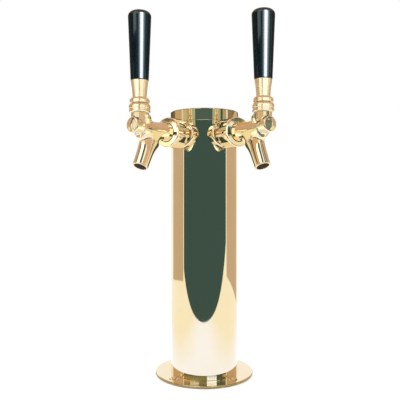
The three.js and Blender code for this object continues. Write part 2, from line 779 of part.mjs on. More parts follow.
function frictionWasher() {
  const top = frictionWasherBottom + FRICTION_WASHER_THICKNESS;
  const profile = [
    [FRICTION_WASHER_BORE_RADIUS, frictionWasherBottom],
    [BOSS_RADIUS, frictionWasherBottom],
    [BOSS_RADIUS, top],
    [FRICTION_WASHER_BORE_RADIUS, top],
  ];
  return ring(profile, TAP_FACETS);
}

function bonnet() {
  const thread = BOSS_RADIUS + FIT_GAP;
  const waist = BONNET_RADIUS - BONNET_WAIST_DEPTH;
  const lowerRim = -BONNET_SKIRT + BONNET_RIM_HEIGHT;
  const upperRim = BONNET_SHOULDER - BONNET_EDGE - BONNET_RIM_HEIGHT;
  return ring(
    [
      [thread, -BONNET_SKIRT],
      [BONNET_RADIUS, -BONNET_SKIRT],
      [BONNET_RADIUS, lowerRim],
      [waist, lowerRim + BONNET_WAIST_DEPTH],
      [waist, upperRim - BONNET_WAIST_DEPTH],
      [BONNET_RADIUS, upperRim],
      [BONNET_RADIUS, BONNET_SHOULDER - BONNET_EDGE],
      [BONNET_RADIUS - BONNET_EDGE, BONNET_SHOULDER],
      [BONNET_LIP_RADIUS, BONNET_LIP_HEIGHT],
      [FRICTION_WASHER_BORE_RADIUS, bonnetLedge],
      [thread, bonnetLedge],
    ],
    TAP_FACETS,
  );
}

function leverCollar() {
  const rimDegrees = degreesAt(cupRadius, COLLAR_RIM_RADIUS);
  const boreDegrees = degreesAt(cupRadius, collarBoreRadius);
  const bulge = COLLAR_RADIUS - COLLAR_RIM_RADIUS;
  return ring(
    [
      [COLLAR_RIM_RADIUS, collarRim],
      [COLLAR_RADIUS, collarRim + bulge],
      [COLLAR_RADIUS, collarTop - COLLAR_RADIUS + COLLAR_TOP_RADIUS - bulge],
      [COLLAR_TOP_RADIUS, collarTop],
      [collarBoreRadius, collarTop],
      ...arc(0, 0, cupRadius, CUP_STEPS, boreDegrees, rimDegrees).slice(0, -1),
    ],
    TAP_FACETS,
  );
}

function handleFerrule() {
  const top = ferruleFoot + FERRULE_LENGTH;
  const waist = ferruleFoot + FERRULE_LENGTH / 2;
  return ring(
    [
      [collarBoreRadius, ferruleFoot],
      [FERRULE_FOOT_RADIUS, ferruleFoot],
      [FERRULE_WAIST_RADIUS, waist],
      [FERRULE_TOP_RADIUS, top],
      [collarBoreRadius, top],
    ],
    TAP_FACETS,
  );
}

function handleGrip() {
  const top = gripFoot + GRIP_LENGTH;
  const shoulder = top - GRIP_DOME - GRIP_EDGE_RADIUS;
  const boreTop = studFoot + LEVER_STUD_LENGTH + FIT_GAP;
  return turned(
    [
      [0, boreTop],
      [collarBoreRadius, boreTop],
      [collarBoreRadius, gripFoot],
      [GRIP_FOOT_RADIUS, gripFoot],
      ...arc(GRIP_TOP_RADIUS - GRIP_EDGE_RADIUS, shoulder, GRIP_EDGE_RADIUS),
      [0, top],
    ],
    TAP_FACETS,
  );
}

// Assembly

function tapDegrees(side) {
  return side * TAP_HALF_ANGLE - 90;
}

function tap(name, side) {
  const group = new THREE.Group();
  group.position.z = shankHeight;
  group.rotation.z = radians(tapDegrees(side));
  group.add(
    piece(`${name}_saddle_flange`, saddleFlange(), brass),
    piece(`${name}_shank`, shank(), brass),
    piece(`${name}_backing_washer`, backingWasher(), steel),
    piece(`${name}_lock_nut`, lockNut(), steel),
    piece(`${name}_hose_elbow`, hoseElbow(), steel),
    piece(`${name}_coupling_gasket`, couplingGasket(), rubber),
    piece(`${name}_coupling_nut`, couplingNut(), brass),
    piece(`${name}_tap_body`, tapBody(), brass),
    piece(`${name}_valve_shaft`, valveShaft(), steel),
    piece(`${name}_seat_washer`, seatWasher(), rubber),
  );
  const onBall = new THREE.Group();
  onBall.position.set(leverX, 0, PIVOT_HEIGHT);
  onBall.add(
    piece(`${name}_ball_washer`, ballWasher(), rubber),
    piece(`${name}_friction_washer`, frictionWasher(), nylon),
    piece(`${name}_bonnet`, bonnet(), brass),
    piece(`${name}_lever`, lever(), steel),
    piece(`${name}_lever_collar`, leverCollar(), brass),
    piece(`${name}_handle_ferrule`, handleFerrule(), brass),
    piece(`${name}_handle_grip`, handleGrip(), blackPlastic),
  );
  group.add(onBall);
  return group;
}

const tower = new THREE.Group();
tower.add(
  piece("base_gasket", baseGasket(), rubber),
  piece("base_flange", baseFlange(), brass),
  piece("column_tube", columnTube(), brass),
  piece("top_cap", topCap(), brass),
  ...Object.entries(TAP_SIDES).map(([name, side]) => tap(name, side)),
);

// The origin goes under the middle of the space that the tower fills.
const filled = new THREE.Box3().setFromObject(tower, true);
tower.position.y = -filled.getCenter(new THREE.Vector3()).y;

export default tower;
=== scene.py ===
import math

import bmesh
import bpy
import numpy as np
from mathutils import Matrix, Vector


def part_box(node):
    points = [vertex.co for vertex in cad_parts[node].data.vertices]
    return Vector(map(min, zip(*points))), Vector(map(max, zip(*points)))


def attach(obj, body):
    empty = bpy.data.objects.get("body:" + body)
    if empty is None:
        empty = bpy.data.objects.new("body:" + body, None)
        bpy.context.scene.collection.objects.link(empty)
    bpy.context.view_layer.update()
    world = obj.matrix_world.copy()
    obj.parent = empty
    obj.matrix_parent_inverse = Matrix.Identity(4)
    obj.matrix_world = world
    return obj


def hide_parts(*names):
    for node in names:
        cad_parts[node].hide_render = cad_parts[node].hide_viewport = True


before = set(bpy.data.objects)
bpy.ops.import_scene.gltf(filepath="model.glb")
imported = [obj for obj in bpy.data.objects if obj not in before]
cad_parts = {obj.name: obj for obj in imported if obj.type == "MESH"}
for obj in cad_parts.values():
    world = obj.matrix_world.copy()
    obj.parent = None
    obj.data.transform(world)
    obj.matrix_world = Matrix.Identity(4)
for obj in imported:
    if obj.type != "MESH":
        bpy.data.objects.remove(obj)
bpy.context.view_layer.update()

# The pieces are made in millimetres and degrees, and a matrix takes them into the row frame, which is in
# metres as the stage is. Each tap has a frame of its own: X runs out along the shank from the column's
# axis, Z is up.
METRES = 0.001
TUBE_LOW, TUBE_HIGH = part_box("column_tube")
AXIS = (TUBE_LOW + TUBE_HIGH) / 2
TOWER_FRAME = Matrix.Translation((AXIS.x, AXIS.y, 0)) @ Matrix.Scale(METRES, 4)

# Driving sizes
SIDES = {"left": -1, "right": 1}
TAP_HALF_ANGLE = 36
COLUMN_RADIUS = 38.1
COLUMN_TOP = 296.3
SHANK_HEIGHT = 268.8
SHANK_HOLE = 10.8
LEVER_X = 103.8
PIVOT_HEIGHT = 16
PART_GAP = 0.3

# How fine the meshes are, and their usual small fillets
TOWER_STEPS = 192
TAP_STEPS = 96
SMALL_STEPS = 64
ARC_STEP = 11
HOLD = 0.08
SHARP_ANGLE = math.radians(32)
BEVEL_ANGLE = math.radians(50)
FINE_EDGE, EDGE = 0.2, 0.3
CUT_PAST = 2


def tap_turn(side):
    return Matrix.Rotation(math.radians(SIDES[side] * TAP_HALF_ANGLE - 90), 4, "Z")


def tap_frame(side):
    return TOWER_FRAME @ Matrix.Translation((0, 0, SHANK_HEIGHT)) @ tap_turn(side)


def lever_frame(side):
    return tap_frame(side) @ Matrix.Translation((LEVER_X, 0, PIVOT_HEIGHT))


ALONG_X = Matrix.Rotation(math.radians(90), 4, "Y")


# Shader nodes

def material(name):
    made = bpy.data.materials.new(name)
    made.use_nodes = True
    return made, made.node_tree, made.node_tree.nodes["Principled BSDF"]


def set_inputs(tree, made, **inputs):
    """Links or sets a node's inputs, whose names have underscores here for spaces."""
    for key, value in inputs.items():
        socket = made.inputs[key.replace("_", " ")]
        if isinstance(value, bpy.types.NodeSocket):
            tree.links.new(value, socket)
        else:
            socket.default_value = value


def node(tree, kind, settings=(), **inputs):
    made = tree.nodes.new(kind)
    for key, value in dict(settings).items():
        setattr(made, key, value)
    set_inputs(tree, made, **inputs)
    return made


def noise(tree, size, stretch=(1, 1, 1), detail=3.0):
    """Noise whose features are about this many metres across, and finer where stretched by more than 1."""
    coords = node(tree, "ShaderNodeTexCoord").outputs["Object"]
    spread = tuple(s / size for s in stretch)
    mapped = node(tree, "ShaderNodeMapping", Vector=coords, Scale=spread).outputs[0]
    made = node(tree, "ShaderNodeTexNoise", Vector=mapped, Scale=1.0, Detail=detail, Roughness=0.55)
    return made.outputs["Fac"]


def ramp(tree, value, span, result=(0, 1)):
    """Takes values over a span evenly to the result's two ends."""
    (low, high), (to_low, to_high) = span, result
    made = node(
        tree, "ShaderNodeMapRange", Value=value, From_Min=low, From_Max=high, To_Min=to_low, To_Max=to_high
    )
    return made.outputs["Result"]


def joined(tree, kind, *sockets, **settings):
    """The output of a node whose inputs take these sockets in order."""
    made = node(tree, kind, settings)
    for i, socket in enumerate(sockets):
        tree.links.new(socket, made.inputs[i])
    return made.outputs[0]


def blend_colours(tree, share, low, high):
    made = node(tree, "ShaderNodeMix", {"data_type": "RGBA"}, Factor=share)
    # the colour sockets come after the float and vector ones of the same name
    made.inputs[6].default_value = (*low, 1)
    made.inputs[7].default_value = (*high, 1)
    return made.outputs[2]


def bump(tree, height, distance):
    return node(tree, "ShaderNodeBump", Strength=1.0, Distance=distance, Height=height).outputs[0]


# Materials

BRASS = (0.93, 0.785, 0.51)
BRASS_DEEP = (0.91, 0.75, 0.46)
TONE_SIZE, MARK_SIZE, SMUDGE_SIZE, GRAIN_SIZE = 0.035, 0.012, 0.02, 0.004
TONE_SPAN, MARK_SPAN, SMUDGE_SPAN, COLOUR_SPAN = (0.35, 0.7), (0.3, 0.75), (0.55, 0.8), (0.3, 0.7)
WEAR_TO_GRAIN = 9
EVEN = (1, 1, 1)
AROUND_Z = (0.15, 0.15, 14)


def brass(name, gloss, stretch, relief):
    """Polished brass under lacquer. gloss is its least and greatest roughness, stretch that of its marks."""
    made, tree, shader = material(name)
    tone = ramp(tree, noise(tree, TONE_SIZE, detail=4), TONE_SPAN)
    marks = ramp(tree, noise(tree, MARK_SIZE, stretch, 5), MARK_SPAN, gloss)
    smudges = ramp(tree, noise(tree, SMUDGE_SIZE, detail=2), SMUDGE_SPAN, (0, gloss[1] - gloss[0]))
    set_inputs(
        tree, shader, Base_Color=blend_colours(tree, tone, BRASS, BRASS_DEEP),
        Roughness=joined(tree, "ShaderNodeMath", marks, smudges, operation="ADD"),
        Normal=bump(tree, noise(tree, GRAIN_SIZE, stretch, 2), relief),
        Metallic=1, Coat_Weight=0.6, Coat_Roughness=0.03,
    )
    return made


def plain(name, low, high, gloss, size, relief, stretch=EVEN, **sockets):
    """A finish between two colours, whose relief follows the same grain."""
    made, tree, shader = material(name)
    grain = noise(tree, size, stretch, 4)
    wear = noise(tree, size * WEAR_TO_GRAIN)
    set_inputs(
        tree, shader, Base_Color=blend_colours(tree, ramp(tree, grain, COLOUR_SPAN), low, high),
        Roughness=ramp(tree, wear, MARK_SPAN, gloss), Normal=bump(tree, grain, relief), **sockets,
    )
    return made


def mirror_brass():
    return brass("mirror_brass", gloss=(0.02, 0.045), stretch=AROUND_Z, relief=0.0000012)


def cast_brass():
    return brass("cast_brass", gloss=(0.04, 0.09), stretch=EVEN, relief=0.000004)


def satin_brass():
    return brass("satin_brass", gloss=(0.17, 0.24), stretch=AROUND_Z, relief=0.000006)


def brown_inside():
    low, high = (0.05, 0.028, 0.014), (0.11, 0.07, 0.035)
    return plain("brown_cast_inside", low, high, gloss=(0.5, 0.7), size=0.001, relief=0.00002)


def black_plastic():
    low, high = (0.002, 0.005, 0.006), (0.004, 0.009, 0.01)
    return plain(
        "black_gloss_plastic", low, high, gloss=(0.05, 0.1), size=0.0012, relief=0.000002,
        IOR=1.5, Coat_Weight=0.3, Coat_Roughness=0.03, Coat_IOR=1.5,
    )


def black_rubber():
    low, high = (0.012, 0.012, 0.012), (0.024, 0.023, 0.022)
    return plain("soft_black_rubber", low, high, gloss=(0.6, 0.8), size=0.0008, relief=0.00003)


def white_nylon():
    low, high = (0.72, 0.7, 0.62), (0.82, 0.8, 0.74)
    return plain("white_nylon_washer", low, high, gloss=(0.4, 0.55), size=0.0015, relief=0.00001)


def turned_steel():
    low, high = (0.5, 0.5, 0.5), (0.66, 0.66, 0.67)
    return plain(
        "turned_steel", low, high, gloss=(0.22, 0.36), size=0.0018, relief=0.000008,
        stretch=AROUND_Z, Metallic=1.0,
    )


MATERIALS = {
    "mirror": mirror_brass(),
    "cast": cast_brass(),
    "satin": satin_brass(),
    "inside": brown_inside(),
    "plastic": black_plastic(),
    "rubber": black_rubber(),
    "nylon": white_nylon(),
    "steel": turned_steel(),
}


# Pieces

def add(name, mesh, matrix, finish, body, replaced):
    """Puts a mesh in the row frame as a piece that rides on a body and stands for a CAD node."""
    mesh.transform(matrix)
    if not mesh.materials:
        mesh.materials.append(MATERIALS[finish])
    made = bpy.data.objects.new(name, mesh)
    bpy.context.scene.collection.objects.link(made)
    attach(made, body)
    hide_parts(replaced)
    return made


def mesh_from(corners, faces, outward=True):
    mesh = bpy.data.meshes.new("piece")
    mesh.from_pydata([tuple(map(float, c)) for c in corners], [], [tuple(map(int, f)) for f in faces])
    finish_mesh(mesh, outward)
    return mesh


def finish_mesh(mesh, outward=True):
    """Smooth shading with sharp edges where faces meet at more than the sharp angle."""
    if outward:
        shape = bmesh.new()
        shape.from_mesh(mesh)
        bmesh.ops.recalc_face_normals(shape, faces=shape.faces)
        shape.to_mesh(mesh)
        shape.free()
    mesh.shade_smooth()
    mesh.set_sharp_from_angle(angle=SHARP_ANGLE)


def arc(radius, start, end, count, centre=(0, 0)):
    """Section points on an arc, with angles from the direction away from the axis."""
    angles = np.radians(np.linspace(start, end, count))
    return [(centre[0] + radius * math.cos(a), centre[1] + radius * math.sin(a)) for a in angles]


def section(corners, closed=True):
    """The points of a section from (distance, height, fillet radius) corners, with no radius where sharp."""
    points = []
    count = len(corners)
    for i, corner in enumerate(corners):
        here = np.array(corner[:2], float)
        radius = corner[2] if len(corner) > 2 else 0
        if not radius or (not closed and i in (0, count - 1)):
            points.append(here)
            continue
        before = np.array(corners[i - 1][:2], float) - here
        after = np.array(corners[(i + 1) % count][:2], float) - here
        back, on = before / np.linalg.norm(before), after / np.linalg.norm(after)
        half = math.acos(np.clip(back @ on, -1, 1)) / 2
        reach = radius / math.tan(half)
        middle = here + (back + on) / np.linalg.norm(back + on) * radius / math.sin(half)
        start, end = here + back * reach - middle, here + on * reach - middle
        sweep = math.pi - 2 * half
        steps = max(2, math.ceil(math.degrees(sweep) / ARC_STEP))
        # a point just beside each end of the fillet keeps the shading of the flat stretch flat
        if np.linalg.norm(before) > reach + 2 * HOLD:
            points.append(middle + start + back * HOLD)
        for k in range(steps + 1):
            share = k / steps
            mixed = math.sin((1 - share) * sweep) * start + math.sin(share * sweep) * end
            points.append(middle + mixed / math.sin(sweep))
        if np.linalg.norm(after) > reach + 2 * HOLD:
            points.append(middle + end + on * HOLD)
    return points


def turned(corners, steps, closed=True):
    """A mesh turned about Z from a section. An open section starts and ends on the axis."""
    rings = [lambda a, d=d, h=h: (d * math.cos(a), d * math.sin(a), h) for d, h in section(corners, closed)]
    return swept(rings, steps, closed)


def swept(profile, steps, closed=True):
    """A mesh about Z: each entry of the profile gives the point at an angle."""
    angles = np.arange(steps) * 2 * math.pi / steps
    corners, faces, rows = [], [], []
    for place in profile:
        ring = [place(a) for a in angles]
        if all(math.hypot(x, y) < 1e-9 for x, y, z in ring):
            rows.append([len(corners)] * steps)
            corners.append(ring[0])
            continue
        rows.append(list(range(len(corners), len(corners) + steps)))
        corners += ring
    pairs = list(zip(rows, rows[1:])) + ([(rows[-1], rows[0])] if closed else [])
    for low, high in pairs:
        for i in range(steps):
            j = (i + 1) % steps
            face = []
            for corner in (low[i], low[j], high[j], high[i]):
                if corner not in face:
                    face.append(corner)
            if len(face) > 2:
                faces.append(face)
    return mesh_from(corners, faces)


def rod(radius, low, high, steps=SMALL_STEPS):
    return turned([(0, low), (radius, low), (radius, high), (0, high)], steps, closed=False)


def cut(mesh, cutters, bevel=0.0):
    """The mesh with the other meshes cut out of it and its sharp edges bevelled."""
    target = bpy.data.objects.new("target", mesh)
    bpy.context.scene.collection.objects.link(target)
    tools = []
    for cutter in cutters:
        tool = bpy.data.objects.new("tool", cutter)
        bpy.context.scene.collection.objects.link(tool)
        modifier = target.modifiers.new("cut", "BOOLEAN")
        modifier.operation = "DIFFERENCE"
        modifier.solver = "EXACT"
        modifier.object = tool
        tools.append(tool)
    if bevel:
        edges = target.modifiers.new("bevel", "BEVEL")
        edges.width = bevel
        edges.segments = 2
        edges.limit_method = "ANGLE"
        edges.angle_limit = BEVEL_ANGLE
    bpy.context.view_layer.update()
    graph = bpy.context.evaluated_depsgraph_get()
    made = bpy.data.meshes.new_from_object(target.evaluated_get(graph))
    for thing in [target, *tools]:
        bpy.data.objects.remove(thing)
    finish_mesh(made, outward=False)
    return made


def moved(mesh, matrix):
    mesh.transform(matrix)
    return mesh


# Fields: negative inside a form, positive outside, in millimetres. Points are rows of X, Y, Z.

BEYOND_AXIS = -60


def turned_field(corners, centre=(0, 0, 0), upright=False):
    """The field of a solid turned about X, or about Z where upright, from (distance, place) corners."""
    # a corner on the axis is moved past it, because the axis is no surface
    ring = [(BEYOND_AXIS if d == 0 else d, h) for d, h in corners]

    def field(points):
        offset = points - np.array(centre, float)
        along = offset[:, 2] if upright else offset[:, 0]
        off = np.hypot(offset[:, 0], offset[:, 1]) if upright else np.hypot(offset[:, 1], offset[:, 2])
        nearest = np.full(len(offset), 1e9)
        inside = np.zeros(len(offset), bool)
        for (d0, h0), (d1, h1) in zip(ring, ring[1:] + ring[:1]):
            edge_d, edge_h = d1 - d0, h1 - h0
            from_d, from_h = off - d0, along - h0
            share = (from_d * edge_d + from_h * edge_h) / (edge_d * edge_d + edge_h * edge_h)
            share = np.clip(share, 0, 1)
            nearest = np.minimum(nearest, (from_d - edge_d * share) ** 2 + (from_h - edge_h * share) ** 2)
            if edge_h != 0:
                crosses = ((h0 <= along) & (along < h1)) | ((h1 <= along) & (along < h0))
                inside ^= crosses & (off < d0 + edge_d * (along - h0) / edge_h)
        return np.where(inside, -1, 1) * np.sqrt(nearest)

    return field


def smooth_min(first, second, radius):
    share = np.maximum(radius - np.abs(first - second), 0) / radius
    return np.minimum(first, second) - share * share * radius / 4


def smooth_max(first, second, radius):
    return -smooth_min(-first, -second, radius)


def curve_points(knots, count):
    """Points along a centripetal spline through the knots."""
    knots = [np.array(k, float) for k in knots]
    ends = [2 * knots[0] - knots[1], *knots, 2 * knots[-1] - knots[-2]]
    points = []
    for share in np.linspace(0, 1, count):
        at = share * (len(knots) - 1)
        i = min(int(at), len(knots) - 2)
        t = at - i
        p = ends[i:i + 4]
        d = [np.linalg.norm(b - a) ** 0.5 for a, b in zip(p, p[1:])]
        leave = ((p[1] - p[0]) / d[0] - (p[2] - p[0]) / (d[0] + d[1]) + (p[2] - p[1]) / d[1]) * d[1]
        arrive = ((p[2] - p[1]) / d[1] - (p[3] - p[1]) / (d[1] + d[2]) + (p[3] - p[2]) / d[2]) * d[1]
        bend = (3 * (p[2] - p[1]) - 2 * leave - arrive) * t**2
        points.append(p[1] + leave * t + bend + (2 * (p[1] - p[2]) + leave + arrive) * t**3)
    return np.array(points)


SPOUT_RADIUS, SPOUT_WALL = 7.9, 1.6


def spout_line():
    """The points of the spout's line in the tap's upright plane, its directions and its half widths."""
    setback, tip_setback, drop, root_reach, count = 15.5, 0.5, 38, 14, 90
    reach, swell = setback - tip_setback, root_reach - SPOUT_RADIUS
    # shares of the reach forwards, of the drop and of the root's swelling
    shares = [(0, 0, 1), (0.1, 0.27, 0.85), (0.25, 0.4, 0.5), (0.46, 0.56, 0.2), (1, 1, 0)]
    knots = [(LEVER_X - setback + reach * on, swell * wide, -drop * down) for on, down, wide in shares]
    points = curve_points(knots, count)
    line, widths = points[:, [0, 2]], SPOUT_RADIUS + np.maximum(points[:, 1], 0)
    tangents = np.gradient(line, axis=0)
    tangents /= np.linalg.norm(tangents, axis=1)[:, None]
    return line, tangents, widths


def spout_field(inset, past):
    """A rod round the spout's line, less an inset, that runs past its tip. Inset, it is round all along."""
    root_past, tip_edge = 2, 0.8
    line, tangents, widths = spout_line()
    if inset:
        widths = np.full(len(widths), SPOUT_RADIUS)
    steps = np.linalg.norm(np.diff(line, axis=0), axis=1)

    def field(points):
        flat = points[:, [0, 2]]
        best = np.full(len(points), 1e9)
        index = np.zeros(len(points), int)
        for i, place in enumerate(line):
            distance = (flat[:, 0] - place[0]) ** 2 + (flat[:, 1] - place[1]) ** 2
            nearer = distance < best
            best[nearer], index[nearer] = distance[nearer], i
        direction = tangents[index]
        off = flat - line[index]
        along = (off * direction).sum(1)
        across = off[:, 1] * direction[:, 0] - off[:, 0] * direction[:, 1]
        nexts = np.clip(index + np.where(along > 0, 1, -1), 0, len(line) - 1)
        share = np.clip(np.abs(along) / steps.mean(), 0, 1)
        reach = widths[index] * (1 - share) + widths[nexts] * share - inset
        radius = SPOUT_RADIUS - inset
        round_off = (np.hypot(across / reach, points[:, 1] / radius) - 1) * radius
        tip = (flat - line[-1]) @ tangents[-1] - past
        root = (flat - line[0]) @ -tangents[0] - root_past
        return smooth_max(np.maximum(round_off, root), tip, tip_edge)

    return field


def bend_field(radius, bend):
    """The quarter turn in which the barrel turns up into the boss."""
    def field(points):
        x, y, z = points[:, 0] - (LEVER_X - bend), points[:, 1], points[:, 2] - bend
        angle = np.clip(np.arctan2(z, x), -math.pi / 2, 0)
        nearest_x, nearest_z = bend * np.cos(angle), bend * np.sin(angle)
        return np.sqrt((x - nearest_x) ** 2 + y ** 2 + (z - nearest_z) ** 2) - radius

    return field


def box_field(low, high):
    low, high = np.array(low, float), np.array(high, float)

    def field(points):
        return np.maximum(low - points, points - high).max(1)

    return field


# A mesh on a field's zero surface

COARSE = 4
NEAR_CELLS = 2.2
SMOOTH_ROUNDS = 3
CELL_CORNERS = [(i, j, k) for i in (0, 1) for j in (0, 1) for k in (0, 1)]


def grid_values(field, lines, step):
    """The field on a grid, from every fourth point where the surface is far."""
    coarse = np.stack(np.meshgrid(*[line[::COARSE] for line in lines], indexing="ij"), -1)
    values = field(coarse.reshape(-1, 3)).reshape(coarse.shape[:3])
    for axis in range(3):
        values = np.repeat(values, COARSE, axis=axis)
    values = values[:len(lines[0]), :len(lines[1]), :len(lines[2])]
    near = np.abs(values) < step * COARSE * NEAR_CELLS
    where = np.argwhere(near)
    values[near] = field(np.stack([lines[axis][where[:, axis]] for axis in range(3)], -1))
    return values


def cell_places(values, cells):
    """A place in each cell: the mean of those where the surface crosses the cell's edges."""
    summed, hits = np.zeros((len(cells), 3)), np.zeros(len(cells))
    for start in CELL_CORNERS:
        for end in CELL_CORNERS:
            if sum(end) != sum(start) + 1 or any(e < s for s, e in zip(start, end)):
                continue
            first = values[tuple((cells + start).T)]
            second = values[tuple((cells + end).T)]
            crossed = (first < 0) != (second < 0)
            share = np.where(crossed, first / np.where(crossed, first - second, 1), 0)[:, None]
            place = cells + np.array(start) + share * (np.array(end) - np.array(start))
            summed[crossed] += place[crossed]
            hits[crossed] += 1
    return summed / hits[:, None]


def cell_faces(inside, ids):
    """A quad of four cells' places round each edge of the grid that the surface crosses."""
    counts = ids.shape
    faces = []
    for axis in range(3):
        across, up = (axis + 1) % 3, (axis + 2) % 3
        first, second = [slice(None)] * 3, [slice(None)] * 3
        first[axis], second[axis] = slice(0, counts[axis]), slice(1, counts[axis] + 1)
        starts, ends = inside[tuple(first)], inside[tuple(second)]
        for flips, edges in ((False, starts & ~ends), (True, ~starts & ends)):
            at = np.argwhere(edges)
            for way in (across, up):
                at = at[(at[:, way] > 0) & (at[:, way] < counts[way])]
            ring = []
            for move_across, move_up in ((-1, -1), (0, -1), (0, 0), (-1, 0)):
                cell = at.copy()
                cell[:, across] += move_across
                cell[:, up] += move_up
                ring.append(ids[tuple(cell.T)])
            faces.append(np.stack(ring[::-1] if flips else ring, 1))
    return np.concatenate(faces)


def relaxed(corners, faces):
    """Each corner halfway to the mean of its neighbours."""
    totals, links = np.zeros_like(corners), np.zeros(len(corners))
    for a, b in ((0, 1), (1, 2), (2, 3), (3, 0)):
        for i, j in ((a, b), (b, a)):
            np.add.at(totals, faces[:, i], corners[faces[:, j]])
            np.add.at(links, faces[:, i], 1)
    return corners * 0.5 + totals / links[:, None] * 0.5


def drawn_to(field, corners, step, rounds=3, reach=0.02, least_slope=0.2):
    """The corners moved along the field's slope onto its zero surface, by a step at most each time."""
    made = corners.copy()
    for _ in range(rounds):
        value = field(made)
        slope = np.zeros_like(made)
        for axis in range(3):
            shift = np.zeros(3)
            shift[axis] = reach
            slope[:, axis] = (field(made + shift) - field(made - shift)) / (2 * reach)
        size = np.maximum((slope**2).sum(1), least_slope)
        move = slope * (value / size)[:, None]
        length = np.linalg.norm(move, axis=1)[:, None]
        made -= move * np.minimum(1, step / np.maximum(length, 1e-9))
    return made


def skin(field, low, high, step):
    """A mesh of quads on a field's zero surface between two corners of a box."""
    counts = [math.ceil((end - start) / step / COARSE) * COARSE for start, end in zip(low, high)]
    lines = [start + step * np.arange(count + 1) for start, count in zip(low, counts)]
    values = grid_values(field, lines, step)
    inside = values < 0
    filled = np.zeros(counts, int)
    for i, j, k in CELL_CORNERS:
        filled += inside[i:i + counts[0], j:j + counts[1], k:k + counts[2]]
    cells = np.argwhere((filled > 0) & (filled < len(CELL_CORNERS)))
    ids = np.full(counts, -1)
    ids[tuple(cells.T)] = np.arange(len(cells))
    corners = np.array(low) + step * cell_places(values, cells)
    faces = cell_faces(inside, ids)
    corners = drawn_to(field, corners, step)
    for _ in range(SMOOTH_ROUNDS):
        corners = drawn_to(field, relaxed(corners, faces), step)
    return mesh_from(corners, faces, outward=False)


# The tap's casting, with places along its axis and heights over it

RIM_FRONT = 58.3
BOSS_RADIUS = 8.5
BEND_RADIUS = 14
BARREL_BLEND, BOSS_FILLET, SPOUT_BLEND, NOSE_BLEND, BORE_EDGE = 1.2, 10, 5.0, 1.0, 0.5
FILLET_LOW, FILLET_RISE, FILLET_FALL = 4, 5, 4
BORE_PAST = 3
CAST_BOX_LOW, CAST_BOX_HIGH, CAST_STEP = (54.2, -14.4, -43.2), (117, 14.4, 20.4), 0.6
INSIDE_DEPTH = 0.25


def rod_field(radius, start, end, **place):
    return turned_field([(0, start), (radius, start), (radius, end), (0, end)], **place)


def barrel_field():
    """The flange that the coupling nut holds, the neck and the barrel."""
    back, neck_end, barrel_start = 55, 70.3, 80.3
    rim, neck, barrel = 13.4, 9.8, 9
    return turned_field([
        (0, back), (rim, back), (rim, RIM_FRONT), (neck, RIM_FRONT), (neck, neck_end),
        (barrel, barrel_start), (barrel, LEVER_X), (0, LEVER_X),
    ])


def nose_field():
    """The nose in front of the barrel, a little above its axis, with a slightly domed end."""
    start, front, radius, height = 95.3, 116, 8.2, 2.6
    edge, edge_x, edge_span = 2, 112.9, (0, 75)
    dome, dome_span, points = 16, (68, 88), 6
    corners = [(0, start), (radius, start)]
    corners += arc(edge, *edge_span, points, (radius - edge, edge_x))
    corners += arc(dome, *dome_span, points, (0, front - dome))
    return turned_field([*corners, (0, front)], centre=(0, 0, height))


def boss_field():
    """The upright boss under the bonnet, slightly narrower at its top."""
    taper_low, taper_high, top, top_radius = 8, 13, 19.07, 8
    corners = [(0, 0), (BOSS_RADIUS, 0), (BOSS_RADIUS, taper_low)]
    corners += [(top_radius, taper_high), (top_radius, top), (0, top)]
    return turned_field(corners, centre=(LEVER_X, 0, 0), upright=True)


def hollow_fields():
    """The valve's seat, the beer's way, the shaft's guide, and the ball's socket with its hole and slot."""
    seat_start, flow_end, guide_end, overlap = 52, 95.8, 112.7, 1
    seat, flow, guide, socket, hole = 4.6, 6.2, 5.2, 6.7, 4.9
    floor, top, hole_top = -5.62, 8, -4.6
    slot_back, slot_half = 6.97, 2
    ball = {"centre": (LEVER_X, 0, PIVOT_HEIGHT), "upright": True}
    return [
        rod_field(seat, seat_start, RIM_FRONT + overlap),
        rod_field(flow, RIM_FRONT, flow_end),
        rod_field(guide, flow_end - overlap, guide_end),
        rod_field(socket, floor, top, **ball),
        rod_field(hole, -PIVOT_HEIGHT, hole_top, **ball),
        box_field((LEVER_X - slot_back, -slot_half, 0), (LEVER_X, slot_half, PIVOT_HEIGHT + floor)),
    ]


def boss_blend(points):
    """The radius between boss and barrel: small, as they are nearly flush, but large over the barrel."""
    height = points[:, 2]
    share = np.clip((height - FILLET_LOW) / FILLET_RISE, 0, 1)
    share = share * np.clip((PIVOT_HEIGHT - height) / FILLET_FALL, 0, 1) * (points[:, 0] < LEVER_X)
    return BARREL_BLEND + BOSS_FILLET * share


def tap_body_fields():
    """The casting's field and the field of its hollows."""
    barrel, nose, boss = barrel_field(), nose_field(), boss_field()
    bend = bend_field(BOSS_RADIUS, BEND_RADIUS)
    spout = spout_field(0, 0)
    bore = spout_field(SPOUT_WALL, BORE_PAST)
    holes = hollow_fields()

    def hollow(points):
        return np.minimum.reduce([hole(points) for hole in (bore, *holes)])

    def field(points):
        body = smooth_min(barrel(points), bend(points), BARREL_BLEND)
        body = smooth_min(body, boss(points), boss_blend(points))
        body = smooth_min(body, spout(points), SPOUT_BLEND)
        body = smooth_min(body, nose(points), NOSE_BLEND)
        body = smooth_max(body, -bore(points), BORE_EDGE)
        return np.maximum(body, -np.minimum.reduce([hole(points) for hole in holes]))

    return field, hollow


def tap_body_mesh():
    """The casting, with a rough finish inside."""
    field, hollow = tap_body_fields()
    mesh = skin(field, CAST_BOX_LOW, CAST_BOX_HIGH, CAST_STEP)
    centres = np.array([face.center[:] for face in mesh.polygons])
    inside = hollow(centres) < INSIDE_DEPTH
    mesh.materials.append(MATERIALS["cast"])
    mesh.materials.append(MATERIALS["inside"])
    mesh.polygons.foreach_set("material_index", inside.astype(int))
    return mesh


# Tower

